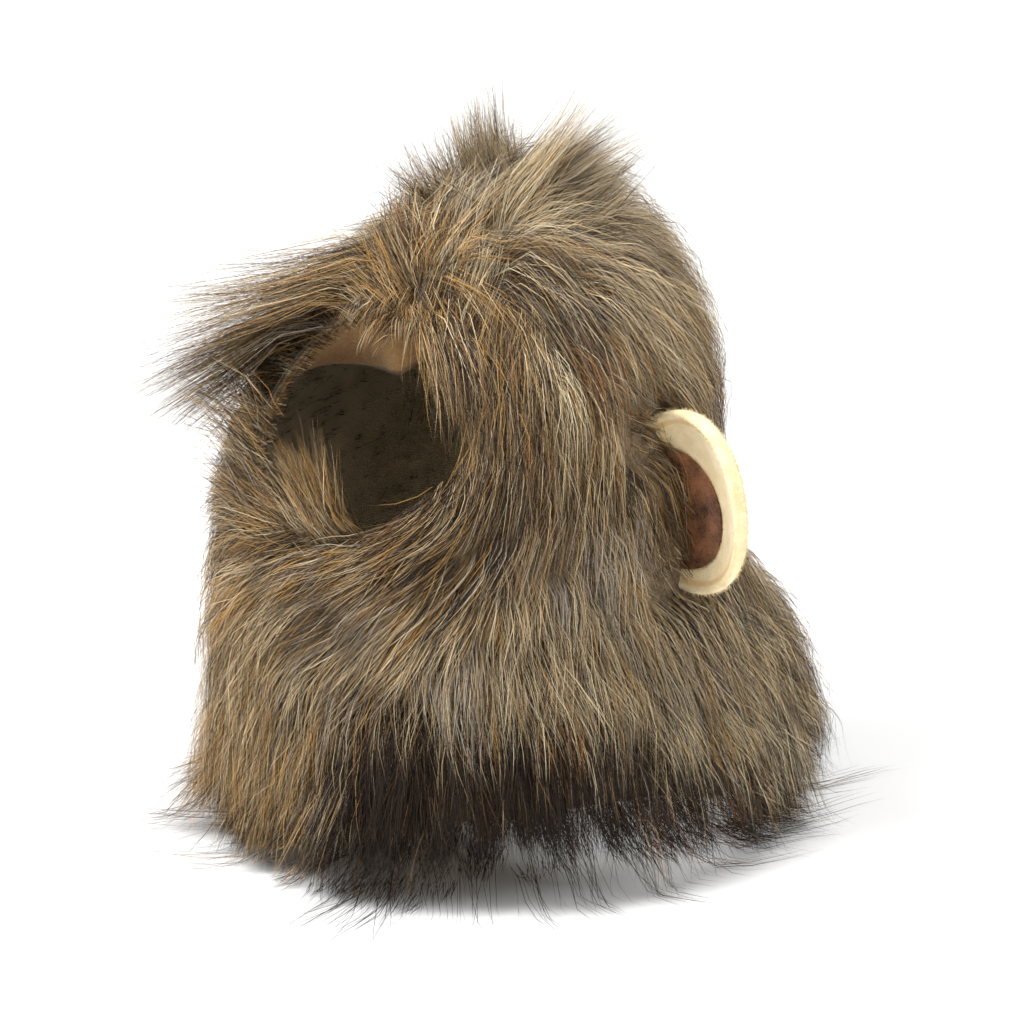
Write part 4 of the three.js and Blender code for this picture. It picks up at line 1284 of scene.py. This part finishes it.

# Colour follows the place: honey and dark browns round the face, honey and sand down the
# wearer's right of the front, sand and ash on the left side and the crown, and near black at
# the hem and low on the wearer's left. Elsewhere taupe, sand and ash are mixed. The lighter
# sand and ash low on the left side are painted light, to lift the shade there. The near black
# at the hem and low on the left is partly the fur's own dark hair and partly painted shade.
hair_root = hairs[:, 0]
hood_turn = turn_of(hair_root)
rim, low = face_place(hair_root)
height = hair_root[:, 2]
on_brow = by_rim(hair_root, **BROW) * below(rim, 1.4, 1.8)
# These bound the near-black band low on the left, which is partly dark hair and partly painted shade.
dark_side = between(hood_turn, -16, 12, 84, 122)
dark_top = 0.112 - 0.040 * smoothstep(hood_turn, 30, 100)
crown = smoothstep(height, 0.20, 0.25)
DYE_SHARES = {
    # in order of the dyes: umber, bark, taupe, ash, honey, sand, cream, rust
    "all over": [0.12, 0.07, 0.23, 0.18, 0.11, 0.21, 0.07, 0.01],
    # Painted light: lighter dyes low on the left side, to lift the shade that the lamps leave there.
    "flank_painted_light": [0.09, 0.02, 0.14, 0.18, 0.14, 0.29, 0.13, 0.01],
    "round the face": [0.25, 0.24, 0.14, 0.01, 0.26, 0.07, 0.01, 0.02],
    "right front": [0.07, 0.06, 0.12, 0.00, 0.40, 0.28, 0.06, 0.01],
    # Near black at the hem: partly the fur's own dark hair, partly painted shade low on the hood.
    "hem": [0.46, 0.20, 0.10, 0.00, 0.18, 0.04, 0.01, 0.01],
    "crown": [0.06, 0.03, 0.12, 0.28, 0.06, 0.26, 0.18, 0.01],
    # Near black low on the left: partly the fur's own dark hair, partly painted shade.
    "dark": [0.92, 0.05, 0.01, 0.00, 0.01, 0.00, 0.00, 0.01],
}
shares = np.zeros((len(hairs), len(DYES))) + DYE_SHARES["all over"]
for region, there in (
    # Painted light low on the left side, lifting the shade there.
    ("flank_painted_light", smoothstep(hood_turn, 10, 40) * below(height, 0.13, 0.17)),
    ("right front", between(hood_turn, -100, -60, -24, 14) * below(height, 0.12, 0.18)),
    ("crown", crown),
    ("round the face", np.maximum(0.85 * below(rim, 1.15, 1.8), on_brow)),
    # The hem and the low band on the left: partly dark hair, partly painted shade.
    ("hem", below(height, 0.015, 0.055)),
    ("dark", dark_side * below(height, dark_top - 0.035, dark_top)),
):
    shares += there[:, None] * (np.array(DYE_SHARES[region]) - shares)
dye_steps = np.cumsum(shares / shares.sum(1, keepdims=True), 1)
of_tuft = rng.uniform(0, 1, len(guides))
of_lock = np.append(of_tuft[mine], of_tuft[len(mine) :])
own = rng.uniform(0, 1, len(hairs))
kin = rng.uniform(0, 1, len(hairs))
pick = np.where(kin < 0.30, of_lock[owner], np.where(kin < 0.50, of_tuft[owner], own))
band = (pick[:, None] > dye_steps).sum(1).clip(0, len(DYES) - 1)
band = np.where(wild & (own < 0.5), 0, band)
dyes = (band + rng.uniform(*DYE_SPAN, len(hairs))) / len(DYES)
back_edge = between(hood_turn, 80, 110, 150, 175)
above_dark = dark_side * below(height, dark_top, dark_top + 0.05)
tip_chance = 0.16 + 0.75 * above_dark + 0.3 * back_edge + 0.4 * below(height, 0.02, 0.06)
tipped = ((rng.uniform(0, 1, len(hairs)) < tip_chance * (1 - 0.7 * crown)) | wild).astype(float)
widths = rng.uniform(FINEST_HAIR, COARSEST_HAIR, len(hairs))

guide_x = (roots[:, 0] - HOOD_AXIS[0])[owner]
guide_y = (roots[:, 1] - HOOD_AXIS[1])[owner]
guide_z = roots[:, 2][owner]
on_bib = (np.abs(guide_x) < BIB_HALF_WIDTH) & (guide_y < 0) & (guide_z < FACE_CENTRE[2])
on_left = ~on_bib & (guide_x >= 0)
on_right = ~on_bib & (guide_x < 0)
cape, top = guide_z < CAPE_TOP, guide_z >= MANE_TOP
mane = ~cape & ~top
PATCHES = [
    ("bib_hair", on_bib, "fur_bib", "bib_fur"),
    ("left_cape_hair", on_left & cape, "fur_left", "long_fur"),
    ("left_mane_hair", on_left & mane, "fur_left", "long_fur"),
    ("left_crown_hair", on_left & top, "fur_left", "long_fur"),
    ("right_cape_hair", on_right & cape, "fur_right", "long_fur"),
    ("right_mane_hair", on_right & mane, "fur_right", "long_fur"),
    ("right_crown_hair", on_right & top, "fur_right", "long_fur"),
]
for name, here, node, slot in PATCHES:
    of_patch = [values[here] for values in (hairs, hair_outs, dyes, tipped, widths)]
    hair_piece(name, *of_patch, node, slot)
